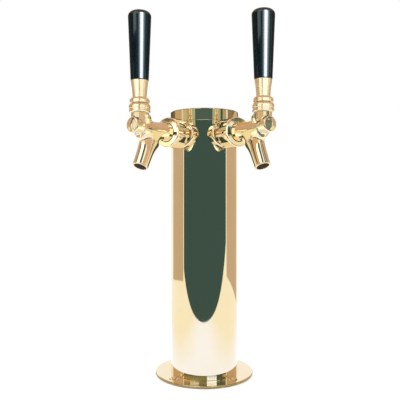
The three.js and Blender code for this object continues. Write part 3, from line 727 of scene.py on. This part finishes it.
GASKET_TOP, FLANGE_TOP, FLANGE_BORE = 0.8, 3, 33.9
SCREW_COUNT, SCREW_CIRCLE, FIRST_SCREW, SCREW_HOLE = 4, 46, 45, 2.5


def screw_places():
    places = []
    for i in range(SCREW_COUNT):
        turn = Matrix.Rotation(math.radians(FIRST_SCREW + 360 / SCREW_COUNT * i), 4, "Z")
        places.append(turn @ Matrix.Translation((SCREW_CIRCLE, 0, 0)))
    return places


def gasket():
    radius, hole = 53, SCREW_HOLE + PART_GAP
    corners = [
        (FLANGE_BORE, 0, FINE_EDGE), (radius, 0, EDGE), (radius, GASKET_TOP, EDGE),
        (FLANGE_BORE, GASKET_TOP, FINE_EDGE),
    ]
    holes = [moved(rod(hole, -CUT_PAST, GASKET_TOP + CUT_PAST), place) for place in screw_places()]
    return cut(turned(corners, TOWER_STEPS), holes)


def flange():
    """A round plate with a sleeve inside the tube and countersunk screw holes."""
    radius, plate_edge, sleeve, sleeve_top, sleeve_edge = 55, 0.8, 36.3, 15, 0.4
    corners = [
        (FLANGE_BORE, GASKET_TOP, EDGE), (radius, GASKET_TOP, EDGE), (radius, FLANGE_TOP, plate_edge),
        (sleeve, FLANGE_TOP), (sleeve, sleeve_top, sleeve_edge), (FLANGE_BORE, sleeve_top, sleeve_edge),
    ]
    head, sink_floor, proud = 4.6, 1.4, 0.02
    low, high = GASKET_TOP - CUT_PAST, FLANGE_TOP + CUT_PAST
    countersink = [
        (0, low), (SCREW_HOLE, low), (SCREW_HOLE, sink_floor), (head, FLANGE_TOP + proud), (head, high),
        (0, high),
    ]
    holes = [moved(turned(countersink, SMALL_STEPS, closed=False), place) for place in screw_places()]
    return cut(turned(corners, TOWER_STEPS), holes)


def column():
    """The tube, with rings of corners about the shank holes, which keep its shading even there."""
    bore, ring_low, ring_step, ring_count = 36.6, 250, 2, 19
    outside = [FLANGE_TOP, *(ring_low + ring_step * i for i in range(ring_count)), COLUMN_TOP]
    corners = []
    for radius, heights in ((COLUMN_RADIUS, outside), (bore, outside[::-1])):
        corners += [(radius, heights[0], FINE_EDGE)]
        corners += [(radius, height) for height in heights[1:-1]]
        corners += [(radius, heights[-1], FINE_EDGE)]
    holes = []
    for side in SIDES:
        place = Matrix.Translation((0, 0, SHANK_HEIGHT)) @ tap_turn(side) @ ALONG_X
        holes.append(moved(rod(SHANK_HOLE, 0, COLUMN_RADIUS + CUT_PAST, TAP_STEPS), place))
    return cut(turned(corners, TOWER_STEPS), holes)


def cap():
    radius, bore, rim, top = 39, 38.3, 284, 297
    inner_edge, outer_edge, top_edge = 0.15, 0.25, 0.9
    corners = [
        (0, COLUMN_TOP), (bore, COLUMN_TOP, EDGE), (bore, rim, inner_edge), (radius, rim, outer_edge),
        (radius, top, top_edge), (0, top),
    ]
    return turned(corners, TOWER_STEPS, closed=False)


def build_tower():
    add("base_gasket_ring", gasket(), TOWER_FRAME, "rubber", "tower", "base_gasket")
    add("base_flange_plate", flange(), TOWER_FRAME, "mirror", "tower", "base_flange")
    add("column_tube_wall", column(), TOWER_FRAME, "mirror", "tower", "column_tube")
    add("top_cap_cup", cap(), TOWER_FRAME, "mirror", "cap", "top_cap")


# Taps

NUT_RADIUS, NUT_BACK = 15.9, 45.8
NUT_SLOT_COUNT, NUT_SLOT_WIDTH, NUT_SLOT_LENGTH, NUT_SLOT_DEPTH = 6, 6.5, 4.2, 5


def saddle():
    """An oval plate whose back follows the column. Angle 0 points down once it lies along X."""
    half, half_width, face, edge = 14.8, 18.5, 43.1, 1.8
    stretch, back_corner = half_width / half, 40

    def back(radius, oval):
        def place(a):
            y = radius * math.sin(a) * oval
            return radius * math.cos(a), y, math.sqrt((COLUMN_RADIUS + PART_GAP) ** 2 - y * y)

        return place

    def front(radius, height, oval):
        return lambda a: (radius * math.cos(a), radius * math.sin(a) * oval, height)

    corners = [(SHANK_HOLE, back_corner), (half, back_corner), (half, face, edge), (SHANK_HOLE, face)]
    rim = section(corners, closed=False)
    profile = [back(SHANK_HOLE, 1), back(SHANK_HOLE + FINE_EDGE, 1)]
    profile += [back(half - FINE_EDGE, stretch), back(half, stretch)]
    # the rim's first two points and its last give way to the back's corners and the hole's edge
    profile += [front(radius, height, stretch) for radius, height in rim[2:-1]]
    profile += [front(SHANK_HOLE + EDGE, face, 1), front(SHANK_HOLE, face - EDGE, 1)]
    return swept(profile, TAP_STEPS)


def nut_slot(i):
    """A block that cuts one of the spanner's slots."""
    block = bmesh.new()
    bmesh.ops.create_cube(block, size=1)
    size = Matrix.Diagonal((2 * NUT_SLOT_DEPTH, NUT_SLOT_WIDTH, 2 * NUT_SLOT_LENGTH, 1))
    turn = Matrix.Rotation(2 * math.pi * i / NUT_SLOT_COUNT, 4, "Z")
    place = turn @ Matrix.Translation((NUT_RADIUS, 0, NUT_BACK))
    bmesh.ops.transform(block, matrix=place @ size, verts=block.verts)
    cutter = bpy.data.meshes.new("slot")
    block.to_mesh(cutter)
    block.free()
    return cutter


def nut():
    """A ring with slots for a spanner in its back edge."""
    step, front, face_slope, front_edge, bevel = 58.6, 64.5, 0.2, 1.6, 0.25
    bore, neck_bore, neck_edge = 14.3, 10.1, 0.4
    corners = [
        (NUT_RADIUS, NUT_BACK, EDGE), (NUT_RADIUS, front - face_slope, front_edge),
        (neck_bore, front, neck_edge), (neck_bore, step, FINE_EDGE), (bore, step),
        (bore, NUT_BACK, FINE_EDGE),
    ]
    return cut(turned(corners, TAP_STEPS), [nut_slot(i) for i in range(NUT_SLOT_COUNT)], bevel)


# The turned pieces on the lever's axis, with heights from the ball's centre

STUD_BORE = 4.9
COLLAR_TOP = 13.974
FERRULE_TOP = 31.374


def bonnet():
    """The ring that screws onto the boss, with a groove round it and a crown under the collar."""
    radius, bore, mouth, eye, groove = 10.8, 8.8, 8, 5.5, 10.5
    low, rim_top, top, thread_top = -0.6, 6.1, 8.3, 4.87
    groove_low, groove_high, slope, groove_edge, low_edge = 1.3, 3.7, 0.5, 0.5, 0.8
    crown, crown_span, crown_points = 12.5, (31.5, 41.6), 5
    corners = [
        (bore, low, FINE_EDGE), (radius, low, low_edge), (radius, groove_low, groove_edge),
        (groove, groove_low + slope, groove_edge), (groove, groove_high - slope, groove_edge),
        (radius, groove_high, groove_edge), (radius, rim_top, EDGE), *arc(crown, *crown_span, crown_points),
        (mouth, top, FINE_EDGE), (eye, thread_top), (bore, thread_top),
    ]
    return turned(corners, TAP_STEPS)


def collar():
    """The ring that tips with the lever, with a cup under it that clears the bonnet's crown."""
    radius, top_radius, foot_radius = 10, 8.4, 9.45
    foot, low, shoulder = 8.8, 9.2, 12.2
    low_edge, shoulder_edge, top_edge = 0.4, 1.0, 0.7
    cup, cup_span, cup_points = 12.86, (67.6, 43.5), 8
    corners = [
        (radius, low, low_edge), (radius, shoulder, shoulder_edge), (top_radius, COLLAR_TOP, top_edge),
        (STUD_BORE, COLLAR_TOP), *arc(cup, *cup_span, cup_points), (foot_radius, foot),
    ]
    return turned(corners, TAP_STEPS)


def ferrule():
    low, waist, waist_curve, top_edge = COLLAR_TOP + PART_GAP, 22.82, 40, 0.25
    low_radius, waist_radius, top_radius = 6.9, 7.6, 8.9
    corners = [
        (STUD_BORE, low), (low_radius, low, EDGE), (waist_radius, waist, waist_curve),
        (top_radius, FERRULE_TOP, top_edge), (STUD_BORE, FERRULE_TOP),
    ]
    return turned(corners, TAP_STEPS)


def grip():
    low, bore_top, shoulder, crown, top = FERRULE_TOP + PART_GAP, 45.6, 98.8, 100.05, 100.274
    low_radius, radius, crown_radius = 9.1, 11.8, 5
    low_edge, shoulder_edge, crown_edge = 0.35, 5.2, 20
    corners = [
        (0, bore_top), (STUD_BORE, bore_top), (STUD_BORE, low), (low_radius, low, low_edge),
        (radius, shoulder, shoulder_edge), (crown_radius, crown, crown_edge), (0, top),
    ]
    return turned(corners, TAP_STEPS, closed=False)


def build_taps():
    body_mesh = tap_body_mesh()
    for side in SIDES:
        tap, lever, handle = tap_frame(side), lever_frame(side), f"{side}_handle"
        for part, mesh, place, finish, body, replaced in (
            ("saddle_plate", saddle(), tap @ ALONG_X, "cast", "tower", "saddle_flange"),
            ("union_nut", nut(), tap @ ALONG_X, "cast", "tower", "coupling_nut"),
            ("tap_casting", body_mesh.copy(), tap, "cast", "tower", "tap_body"),
            ("bonnet_ring", bonnet(), lever, "satin", "tower", "bonnet"),
            ("collar_ring", collar(), lever, "satin", handle, "lever_collar"),
            ("ferrule_cone", ferrule(), lever, "satin", handle, "handle_ferrule"),
            ("grip_body", grip(), lever, "plastic", handle, "handle_grip"),
        ):
            made = add(f"{side}_{part}", mesh, place, finish, body, f"{side}_{replaced}")
            made.visible_glossy = part != "tap_casting"


def finish_cad_nodes():
    """The working parts inside keep their CAD shapes."""
    steel = ("backing_washer", "lock_nut", "hose_elbow", "valve_shaft", "lever")
    rubber = ("coupling_gasket", "seat_washer", "ball_washer")
    groups = {"cast": ("shank",), "steel": steel, "rubber": rubber, "nylon": ("friction_washer",)}
    for side in SIDES:
        for finish, names in groups.items():
            for name in names:
                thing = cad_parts[f"{side}_{name}"]
                thing.data.materials.clear()
                thing.data.materials.append(MATERIALS[finish])


# Stage: azimuth 0 is straight in front of the column and 90 to the right, and pairs go from low to high

FAR, NEAR, CLOSE, GRIP_HIGHLIGHT_DISTANCE = 1.75, 1.25, 0.7, 1.1
LAYER = 0.01
CARD_GAP = 0.0005
CARD_STEP = 4
TALL = 2.5
SIDE_TOP, SHADE_TOP, LOW_TOP = 0.385, 0.85, 0.265
LEFT_SIDE, RIGHT_SIDE, LOW_SIDE = 0.723, 0.74, 0.34
WALL_TOP, REAR_LOW, REAR = 1.2, 0.98, 1.5
CAP_LOW, CAP_HIGH, STREAK_HIGH, CAP_SIDE_HIGH = 0.44, 0.66, 0.597, 0.46
PAINTED_REFLECTION_HEIGHTS = (-0.1, 0.95)
TABLE_FRONT = -0.296
TABLE_HOLE, TABLE_WIDE, FOOT_SHADE_WIDE, FOOT_SHADE_DROP = 0.066, 3, 0.08, 0.001
FLOOR_WIDE, CEILING_WIDE = 6, 2

TABLE_LIGHT = (1.03, 1.13, 1.5)
TABLE_WARM = (1.03, 1.03, 1.0)
# the dark of the painted shade under the flange, which the brass shows
TABLE_SHADE = (0.43, 0.35, 0.19)
TABLE_WARM_SPAN = (0.05, 0.22)
WHITE = (1, 1, 1, 1)

CAP_PIECES = ["top_cap_cup"]
COLUMN_PIECES = ["column_tube_wall", "top_cap_cup"]
FOOT_PIECES = ["column_tube_wall", "base_flange_plate"]
GRIP_PIECES = [f"{side}_grip_body" for side in SIDES]
NUT_PIECES = [f"{side}_union_nut" for side in SIDES]
CAST_PARTS = ("saddle_plate", "tap_casting")
UPPER_PARTS = ("bonnet_ring", "collar_ring", "ferrule_cone")
TAP_PIECES = [f"{side}_{part}" for side in SIDES for part in CAST_PARTS + UPPER_PARTS]

CLEAR_CARDS = []
LIT_GROUPS = {}


def emission(name, colour, strength=1.0):
    made = bpy.data.materials.new(name)
    made.use_nodes = True
    tree = made.node_tree
    tree.nodes.clear()
    light = node(tree, "ShaderNodeEmission", Color=(*colour, 1), Strength=strength)
    node(tree, "ShaderNodeOutputMaterial", Surface=light.outputs[0])
    return made


def glow(name, colour, strength=1.0):
    """A see-through surface that adds its light to what stands behind it."""
    made = emission(name, colour, strength)
    tree = made.node_tree
    clear = node(tree, "ShaderNodeBsdfTransparent")
    both = joined(tree, "ShaderNodeAddShader", tree.nodes["Emission"].outputs[0], clear.outputs[0])
    set_inputs(tree, tree.nodes["Material Output"], Surface=both)
    return made


def stage_mesh(name, corners, faces, made, glossy_only=True):
    mesh = bpy.data.meshes.new(name)
    mesh.from_pydata(corners, [], faces)
    mesh.materials.append(made)
    thing = bpy.data.objects.new(name, mesh)
    bpy.context.scene.collection.objects.link(thing)
    if glossy_only:
        for kind in ("camera", "diffuse", "shadow", "transmission", "volume_scatter"):
            setattr(thing, f"visible_{kind}", False)
    return thing


def level_sheet(name, sides, ends, height, made, glossy_only=True):
    """A level rectangle between two places along X and two along Y."""
    corners = [
        (sides[0], ends[0], height), (sides[1], ends[0], height),
        (sides[1], ends[1], height), (sides[0], ends[1], height),
    ]
    return stage_mesh(name, corners, [(0, 1, 2, 3)], made, glossy_only)


def card(name, azimuths, heights, radius, colour, strength=1.0, lights=None):
    """A card that stands round the column.

    The radius can be a pair, for its two ends. A card with its own list of pieces lights only those, which
    paints a reflection on them alone.
    """
    made = glow(name, colour, strength) if lights else emission(name, colour, strength)
    first, last = radius if isinstance(radius, tuple) else (radius, radius)
    if lights:
        # a ray that has passed a clear card misses another at the same distance, so each has its own
        apart = CARD_GAP * len(CLEAR_CARDS)
        CLEAR_CARDS.append(name)
        first, last = first - apart, last - apart
    steps = max(2, round((azimuths[1] - azimuths[0]) / CARD_STEP))
    corners, faces = [], []
    for i in range(steps + 1):
        share = i / steps
        a = math.radians(azimuths[0] + (azimuths[1] - azimuths[0]) * share)
        r = first + (last - first) * share
        for z in heights:
            corners.append((AXIS.x + r * math.sin(a), AXIS.y - r * math.cos(a), z))
    for i in range(steps):
        faces.append((2 * i, 2 * i + 2, 2 * i + 3, 2 * i + 1))
    thing = stage_mesh(name, corners, faces, made)
    if lights:
        light_only(thing, lights)
    return thing


def light_only(thing, pieces):
    """A card then adds its light to these pieces alone: a reflection painted on them."""
    group = tuple(pieces)
    if group not in LIT_GROUPS:
        LIT_GROUPS[group] = bpy.data.collections.new(f"lit_group_{len(LIT_GROUPS)}")
        for piece in group:
            LIT_GROUPS[group].objects.link(bpy.data.objects[piece])
    thing.light_linking.receiver_collection = LIT_GROUPS[group]


def cards(prefix, heights, radius, rows, lights=None):
    """Cards of one height and distance, from rows of a name, two azimuths and a colour."""
    for name, low, high, colour in rows:
        card(f"{prefix}_{name}_card", (low, high), heights, radius, colour, lights=lights)


def table_paper():
    """Cool white in the middle and warmer to both sides."""
    made = emission("table_paper", TABLE_LIGHT)
    tree = made.node_tree
    place = node(tree, "ShaderNodeTexCoord").outputs["Object"]
    sideways = node(tree, "ShaderNodeSeparateXYZ", Vector=place).outputs["X"]
    distance = joined(tree, "ShaderNodeMath", sideways, operation="ABSOLUTE")
    share = ramp(tree, distance, TABLE_WARM_SPAN)
    set_inputs(tree, tree.nodes["Emission"], Color=blend_colours(tree, share, TABLE_LIGHT, TABLE_WARM))
    return made


def build_table():
    """White paper that stops in front of the tower, with painted shade right under the flange."""
    paper = table_paper()
    hole, wide, under = TABLE_HOLE, TABLE_WIDE, FOOT_SHADE_WIDE
    hole_ends = (AXIS.y - hole, AXIS.y + hole)
    level_sheet("table_front_card", (-wide, wide), (TABLE_FRONT, hole_ends[0]), 0, paper)
    level_sheet("table_back_card", (-wide, wide), (hole_ends[1], wide), 0, paper)
    level_sheet("table_left_card", (-wide, -hole), hole_ends, 0, paper)
    level_sheet("table_right_card", (hole, wide), hole_ends, 0, paper)
    # a dark sheet just under the paper round the foot is painted shade, seen only in the brass
    shade_ends = (AXIS.y - under, AXIS.y + under)
    shade = emission("foot_shade", TABLE_SHADE)
    level_sheet("foot_shade_card", (-under, under), shade_ends, -FOOT_SHADE_DROP, shade)
    # a painted reflection: the column alone shows the paper under the flange as bright as the rest, without
    # the painted shade
    painted_paper_glow = glow("foot_paper", tuple(light - dark for light, dark in zip(TABLE_LIGHT, TABLE_SHADE)))
    light_only(level_sheet("painted_foot_paper_card", (-hole, hole), hole_ends, 0, painted_paper_glow), COLUMN_PIECES)


def build_front_room():
    """The dark green room in front, and what stands above it."""
    card("green_card", (-70.5, 80), (-0.9, CAP_HIGH), FAR, (0.051, 0.1, 0.112))
    card("teal_card", (-78, 84), (CAP_HIGH, WALL_TOP), FAR, (0.02, 0.05, 0.055))
    tan = (0.6, 0.47, 0.37)
    card("left_tan_card", (-129, -72), (0, SIDE_TOP), LEFT_SIDE, tan)
    card("right_tan_card", (82, 142), (0, SIDE_TOP), (0.8, 0.42), tan)
    shade = (0.1, 0.085, 0.07)
    card("left_shade_card", (-150, -71), (SIDE_TOP, SHADE_TOP), LEFT_SIDE, shade)
    card("right_shade_card", (84, 160), (SIDE_TOP, SHADE_TOP), RIGHT_SIDE, shade)
    cards("high", (WALL_TOP, TALL), FAR, (
        ("left_olive", -78, -58, (0.4, 0.36, 0.28)),
        ("white", -58, -10, (1.6, 1.7, 1.9)),
        ("dark", -10, 20, (0.12, 0.17, 0.16)),
        ("pale", 20, 38, (1.1, 1.15, 1.3)),
        ("dim", 38, 54, (0.12, 0.12, 0.1)),
        ("sand", 54, 66, (0.7, 0.66, 0.6)),
        ("right_olive", 66, 90, (0.25, 0.24, 0.18)),
    ))


def build_rear_room():
    """The warm wall high up behind, and the ceiling."""
    cards("rear", (REAR_LOW, TALL), REAR, (
        ("pink", 88, 180, (0.68, 0.46, 0.36)),
        ("orange", 180, 272, (0.67, 0.38, 0.17)),
    ))
    wide = (-CEILING_WIDE, CEILING_WIDE)
    level_sheet("ceiling_card", wide, wide, TALL, emission("ceiling", (0.66, 0.5, 0.38)))


def build_cap_painted_reflections():
    """Painted reflections: streaks beside the green, which only the column and the cap show, and some only
    the cap.
    """
    brown, sand, olive = (0.42, 0.32, 0.16), (0.56, 0.42, 0.27), (0.4, 0.4, 0.26)
    cards("streak", (CAP_LOW, STREAK_HIGH), FAR - LAYER, (
        ("left_sand", -70, -58, sand),
        ("left_brown", -58, -44, brown),
        ("left_olive", -44, -28, olive),
        ("right_olive", 29, 57, olive),
        ("right_sand", 65, 80, (0.4, 0.3, 0.18)),
    ), COLUMN_PIECES)
    cards("cap", (SIDE_TOP, CAP_SIDE_HIGH), CLOSE, (
        ("left_line", -76, -72, (0.85, 0.8, 0.7)),
        ("left_edge", -128, -110, (0.1, 0.05, 0.02)),
        ("left", -110, -76, (0.48, 0.35, 0.18)),
        ("right", 84, 105, (0.2, 0.14, 0.07)),
        ("right_edge", 105, 140, (0.14, 0.1, 0.05)),
    ), CAP_PIECES)
    cards("cap", (CAP_LOW, CAP_HIGH), FAR - LAYER, (("middle", -28, 29, (0.025, 0.034, 0.03)),), CAP_PIECES)


def build_foot_painted_reflections():
    """Painted reflections: cards that only the column's foot and the flange show, in place of what they show
    of each other.
    """
    bright, pink, olive = (1.1, 1.35, 2.3), (1.0, 1.0, 1.25), (0.24, 0.2, 0.08)
    brown, dark = (0.36, 0.2, 0.06), (0.06, 0.04, 0.01)
    edges = (-70, -46, -16, 11, 44, 84)
    for tier, low, high, row in (
        ("low", 0.57, 0.5975, (brown, olive, olive, bright, dark)),
        ("middle", 0.5975, 0.608, (brown, pink, olive, bright, dark)),
        ("high", 0.608, CAP_HIGH, (olive, olive, dark, pink, dark)),
    ):
        rows = zip(range(len(row)), edges, edges[1:], row)
        cards(f"foot_{tier}", (low, high), FAR - 2 * LAYER, rows, FOOT_PIECES)


def build_tap_painted_reflections():
    """Painted reflections: a white surround for the taps' brass that only the chosen pieces show, with a
    colour of its own for each stretch and piece.
    """
    nut_white, cream, olive = (1.4, 1.42, 1.45), (0.92, 0.88, 0.8), (0.15, 0.16, 0.13)
    tan, orange, edge = (0.66, 0.46, 0.34), (0.66, 0.42, 0.2), (0.68, 0.62, 0.56)
    pale_cream, pale_sand = (1.24, 1.3, 1.42), (1.14, 1.08, 1.06)
    left_cast, right_cast = ([f"{side}_{part}" for part in CAST_PARTS] for side in SIDES)
    left_upper, right_upper = ([f"{side}_{part}" for part in UPPER_PARTS] for side in SIDES)
    card("nut_painted_reflection_card", (-59, 59), PAINTED_REFLECTION_HEIGHTS, NEAR, nut_white, lights=NUT_PIECES)
    for name, start, end, colour, pieces in (
        ("left_cast_outer", -60, -4, cream, left_cast),
        ("left_upper_outer", -60, -5, pale_cream, left_upper),
        ("left_upper_inner", 4, 60, pale_sand, left_upper),
        ("left_cast_inner", -4, 80, tan, left_cast),
        ("right_upper_inner", -60, -17, pale_sand, right_upper),
        ("right_cast_inner", -70, 0, orange, right_cast),
        ("right_upper_outer", -8, 60, pale_cream, right_upper),
        ("right_cast_outer", 0, 37, cream, right_cast),
        ("right_olive", 37, 82, olive, right_cast),
        ("left_edge", -72, -60, edge, left_cast + left_upper),
        ("upper_edge", 60, 82, edge, left_upper + right_upper),
    ):
        # each card lights only its own pieces, a reflection painted on them
        card(f"tent_{name}_card", (start, end), PAINTED_REFLECTION_HEIGHTS, NEAR, colour, lights=pieces)


def build_nut_painted_reflections():
    """Painted reflections: cards that each coupling nut alone shows, for the room beside and behind it."""
    white, cream, brown, back = (0.95, 0.95, 1.0), (0.9, 0.82, 0.65), (0.1, 0.08, 0.02), (0.48, 0.44, 0.33)
    for side, sign in SIDES.items():
        lit = [f"{side}_union_nut"]
        card(f"nut_{side}_back_card", (84, 276), (0, 0.9), CLOSE - LAYER, back, lights=lit)
        for name, low, high, start, end, colour in (
            ("low", 0.24, 0.327, 56, 80, cream),
            ("outer", 0.327, 0.375, 66.5, 80, white),
            ("inner", 0.327, 0.375, 56, 60.5, white),
            ("white", 0.375, 0.4, 56, 80, white),
            ("high", 0.4, 0.5, 56, 80, brown),
        ):
            span = sorted((sign * start, sign * end))
            card(f"nut_{side}_{name}_card", span, (low, high), CLOSE, colour, lights=lit)


def build_side_painted_reflections():
    """Painted reflections: what the taps alone show to both sides, above and below."""
    pink, green = (0.5, 0.36, 0.27), (0.35, 0.42, 0.25)
    rows = (("left_high", -150, -78, pink), ("right_high", 84, 150, pink))
    cards("tent", (SIDE_TOP, SHADE_TOP), CLOSE, rows, TAP_PIECES)
    rows = (("left_low", -125, -74, green), ("right_low", 74, 125, green))
    cards("tent", (0, LOW_TOP), LOW_SIDE, rows, TAP_PIECES)


def build_grip_painted_highlight():
    """The painted highlight that only the black grips show, which fades to both sides, and a faint second
    one.
    """
    highlight_white, haze, faint = (0.92, 0.97, 1.08), (0.55, 0.9, 1.05), (0.85, 1, 0.95)
    spans = (
        (-30, -8, 0.25, haze), (-8, 4, 2.5, haze), (4, 13, 9, highlight_white), (13, 36, 24, highlight_white),
        (36, 46, 8, highlight_white), (46, 60, 2.5, haze), (60, 76, 0.4, haze),
    )
    # each key card is a stretch of the painted highlight, which only the grips show
    for i, (start, end, strength, colour) in enumerate(spans):
        card(f"key_{i}_card", (start, end), (0.4, 1.3), GRIP_HIGHLIGHT_DISTANCE, colour, strength, GRIP_PIECES)
    card("faint_grip_highlight_card", (-56, -26), (0.59, 0.9), GRIP_HIGHLIGHT_DISTANCE, faint, 1.6, GRIP_PIECES)


def build_floor():
    paper, tree, shader = material("white_paper")
    set_inputs(tree, shader, Base_Color=WHITE, Roughness=1, Specular_IOR_Level=0)
    wide = (-FLOOR_WIDE, FLOOR_WIDE)
    level_sheet("floor", wide, wide, 0, paper, glossy_only=False).visible_glossy = False


def build_world():
    """White to the camera, to gloss and to glass, and a soft light on everything else."""
    world = bpy.data.worlds.new("studio")
    bpy.context.scene.world = world
    world.use_nodes = True
    tree = world.node_tree
    tree.nodes.clear()
    path = node(tree, "ShaderNodeLightPath")
    white = node(tree, "ShaderNodeBackground", Color=WHITE, Strength=1.0)
    soft = node(tree, "ShaderNodeBackground", Color=WHITE, Strength=1.04)
    seen = path.outputs["Is Camera Ray"]
    for kind in ("Is Glossy Ray", "Is Transmission Ray"):
        seen = joined(tree, "ShaderNodeMath", seen, path.outputs[kind], operation="MAXIMUM")
    mixed = joined(tree, "ShaderNodeMixShader", seen, soft.outputs[0], white.outputs[0])
    node(tree, "ShaderNodeOutputWorld", Surface=mixed)


LAMP_AIM = (0, 0, 0.18)


def build_lamp(name, place, size, energy):
    lamp = bpy.data.lights.new(name, "AREA")
    lamp.shape = "SQUARE"
    lamp.size = size
    lamp.energy = energy
    thing = bpy.data.objects.new(name, lamp)
    thing.location = place
    aim = Vector(LAMP_AIM) - Vector(place)
    thing.rotation_mode = "QUATERNION"
    thing.rotation_quaternion = aim.to_track_quat("-Z", "Y")
    thing.visible_glossy = False
    bpy.context.scene.collection.objects.link(thing)


def build_stage():
    build_floor()
    build_table()
    build_front_room()
    build_rear_room()
    build_cap_painted_reflections()
    build_foot_painted_reflections()
    build_tap_painted_reflections()
    build_nut_painted_reflections()
    build_side_painted_reflections()
    build_grip_painted_highlight()
    build_world()
    build_lamp("key_lamp", (0.75, -1.2, 1.5), size=0.9, energy=9)
    build_lamp("fill_lamp", (-1.1, -0.9, 1.3), size=1.2, energy=6)


# Camera

def build_camera():
    """The photograph's view: turned and pitched a little from looking level at the column's axis."""
    distance, height, azimuth, turn, pitch = 0.6, 0.199, math.radians(2.1), 0.467, -0.132
    lens = bpy.data.cameras.new("camera")
    lens.lens = 47.03
    lens.sensor_width = 36
    lens.clip_start = 0.01
    thing = bpy.data.objects.new("camera", lens)
    x, y = AXIS.x + distance * math.sin(azimuth), AXIS.y - distance * math.cos(azimuth)
    thing.location = (x, y, height)
    thing.rotation_mode = "XYZ"
    thing.rotation_euler = (math.radians(90 + pitch), 0, azimuth + math.radians(turn))
    bpy.context.scene.collection.objects.link(thing)
    bpy.context.scene.camera = thing
    bpy.context.scene.view_settings.view_transform = "Standard"


build_camera()
build_tower()
build_taps()
finish_cad_nodes()
build_stage()

bpy.context.view_layer.update()
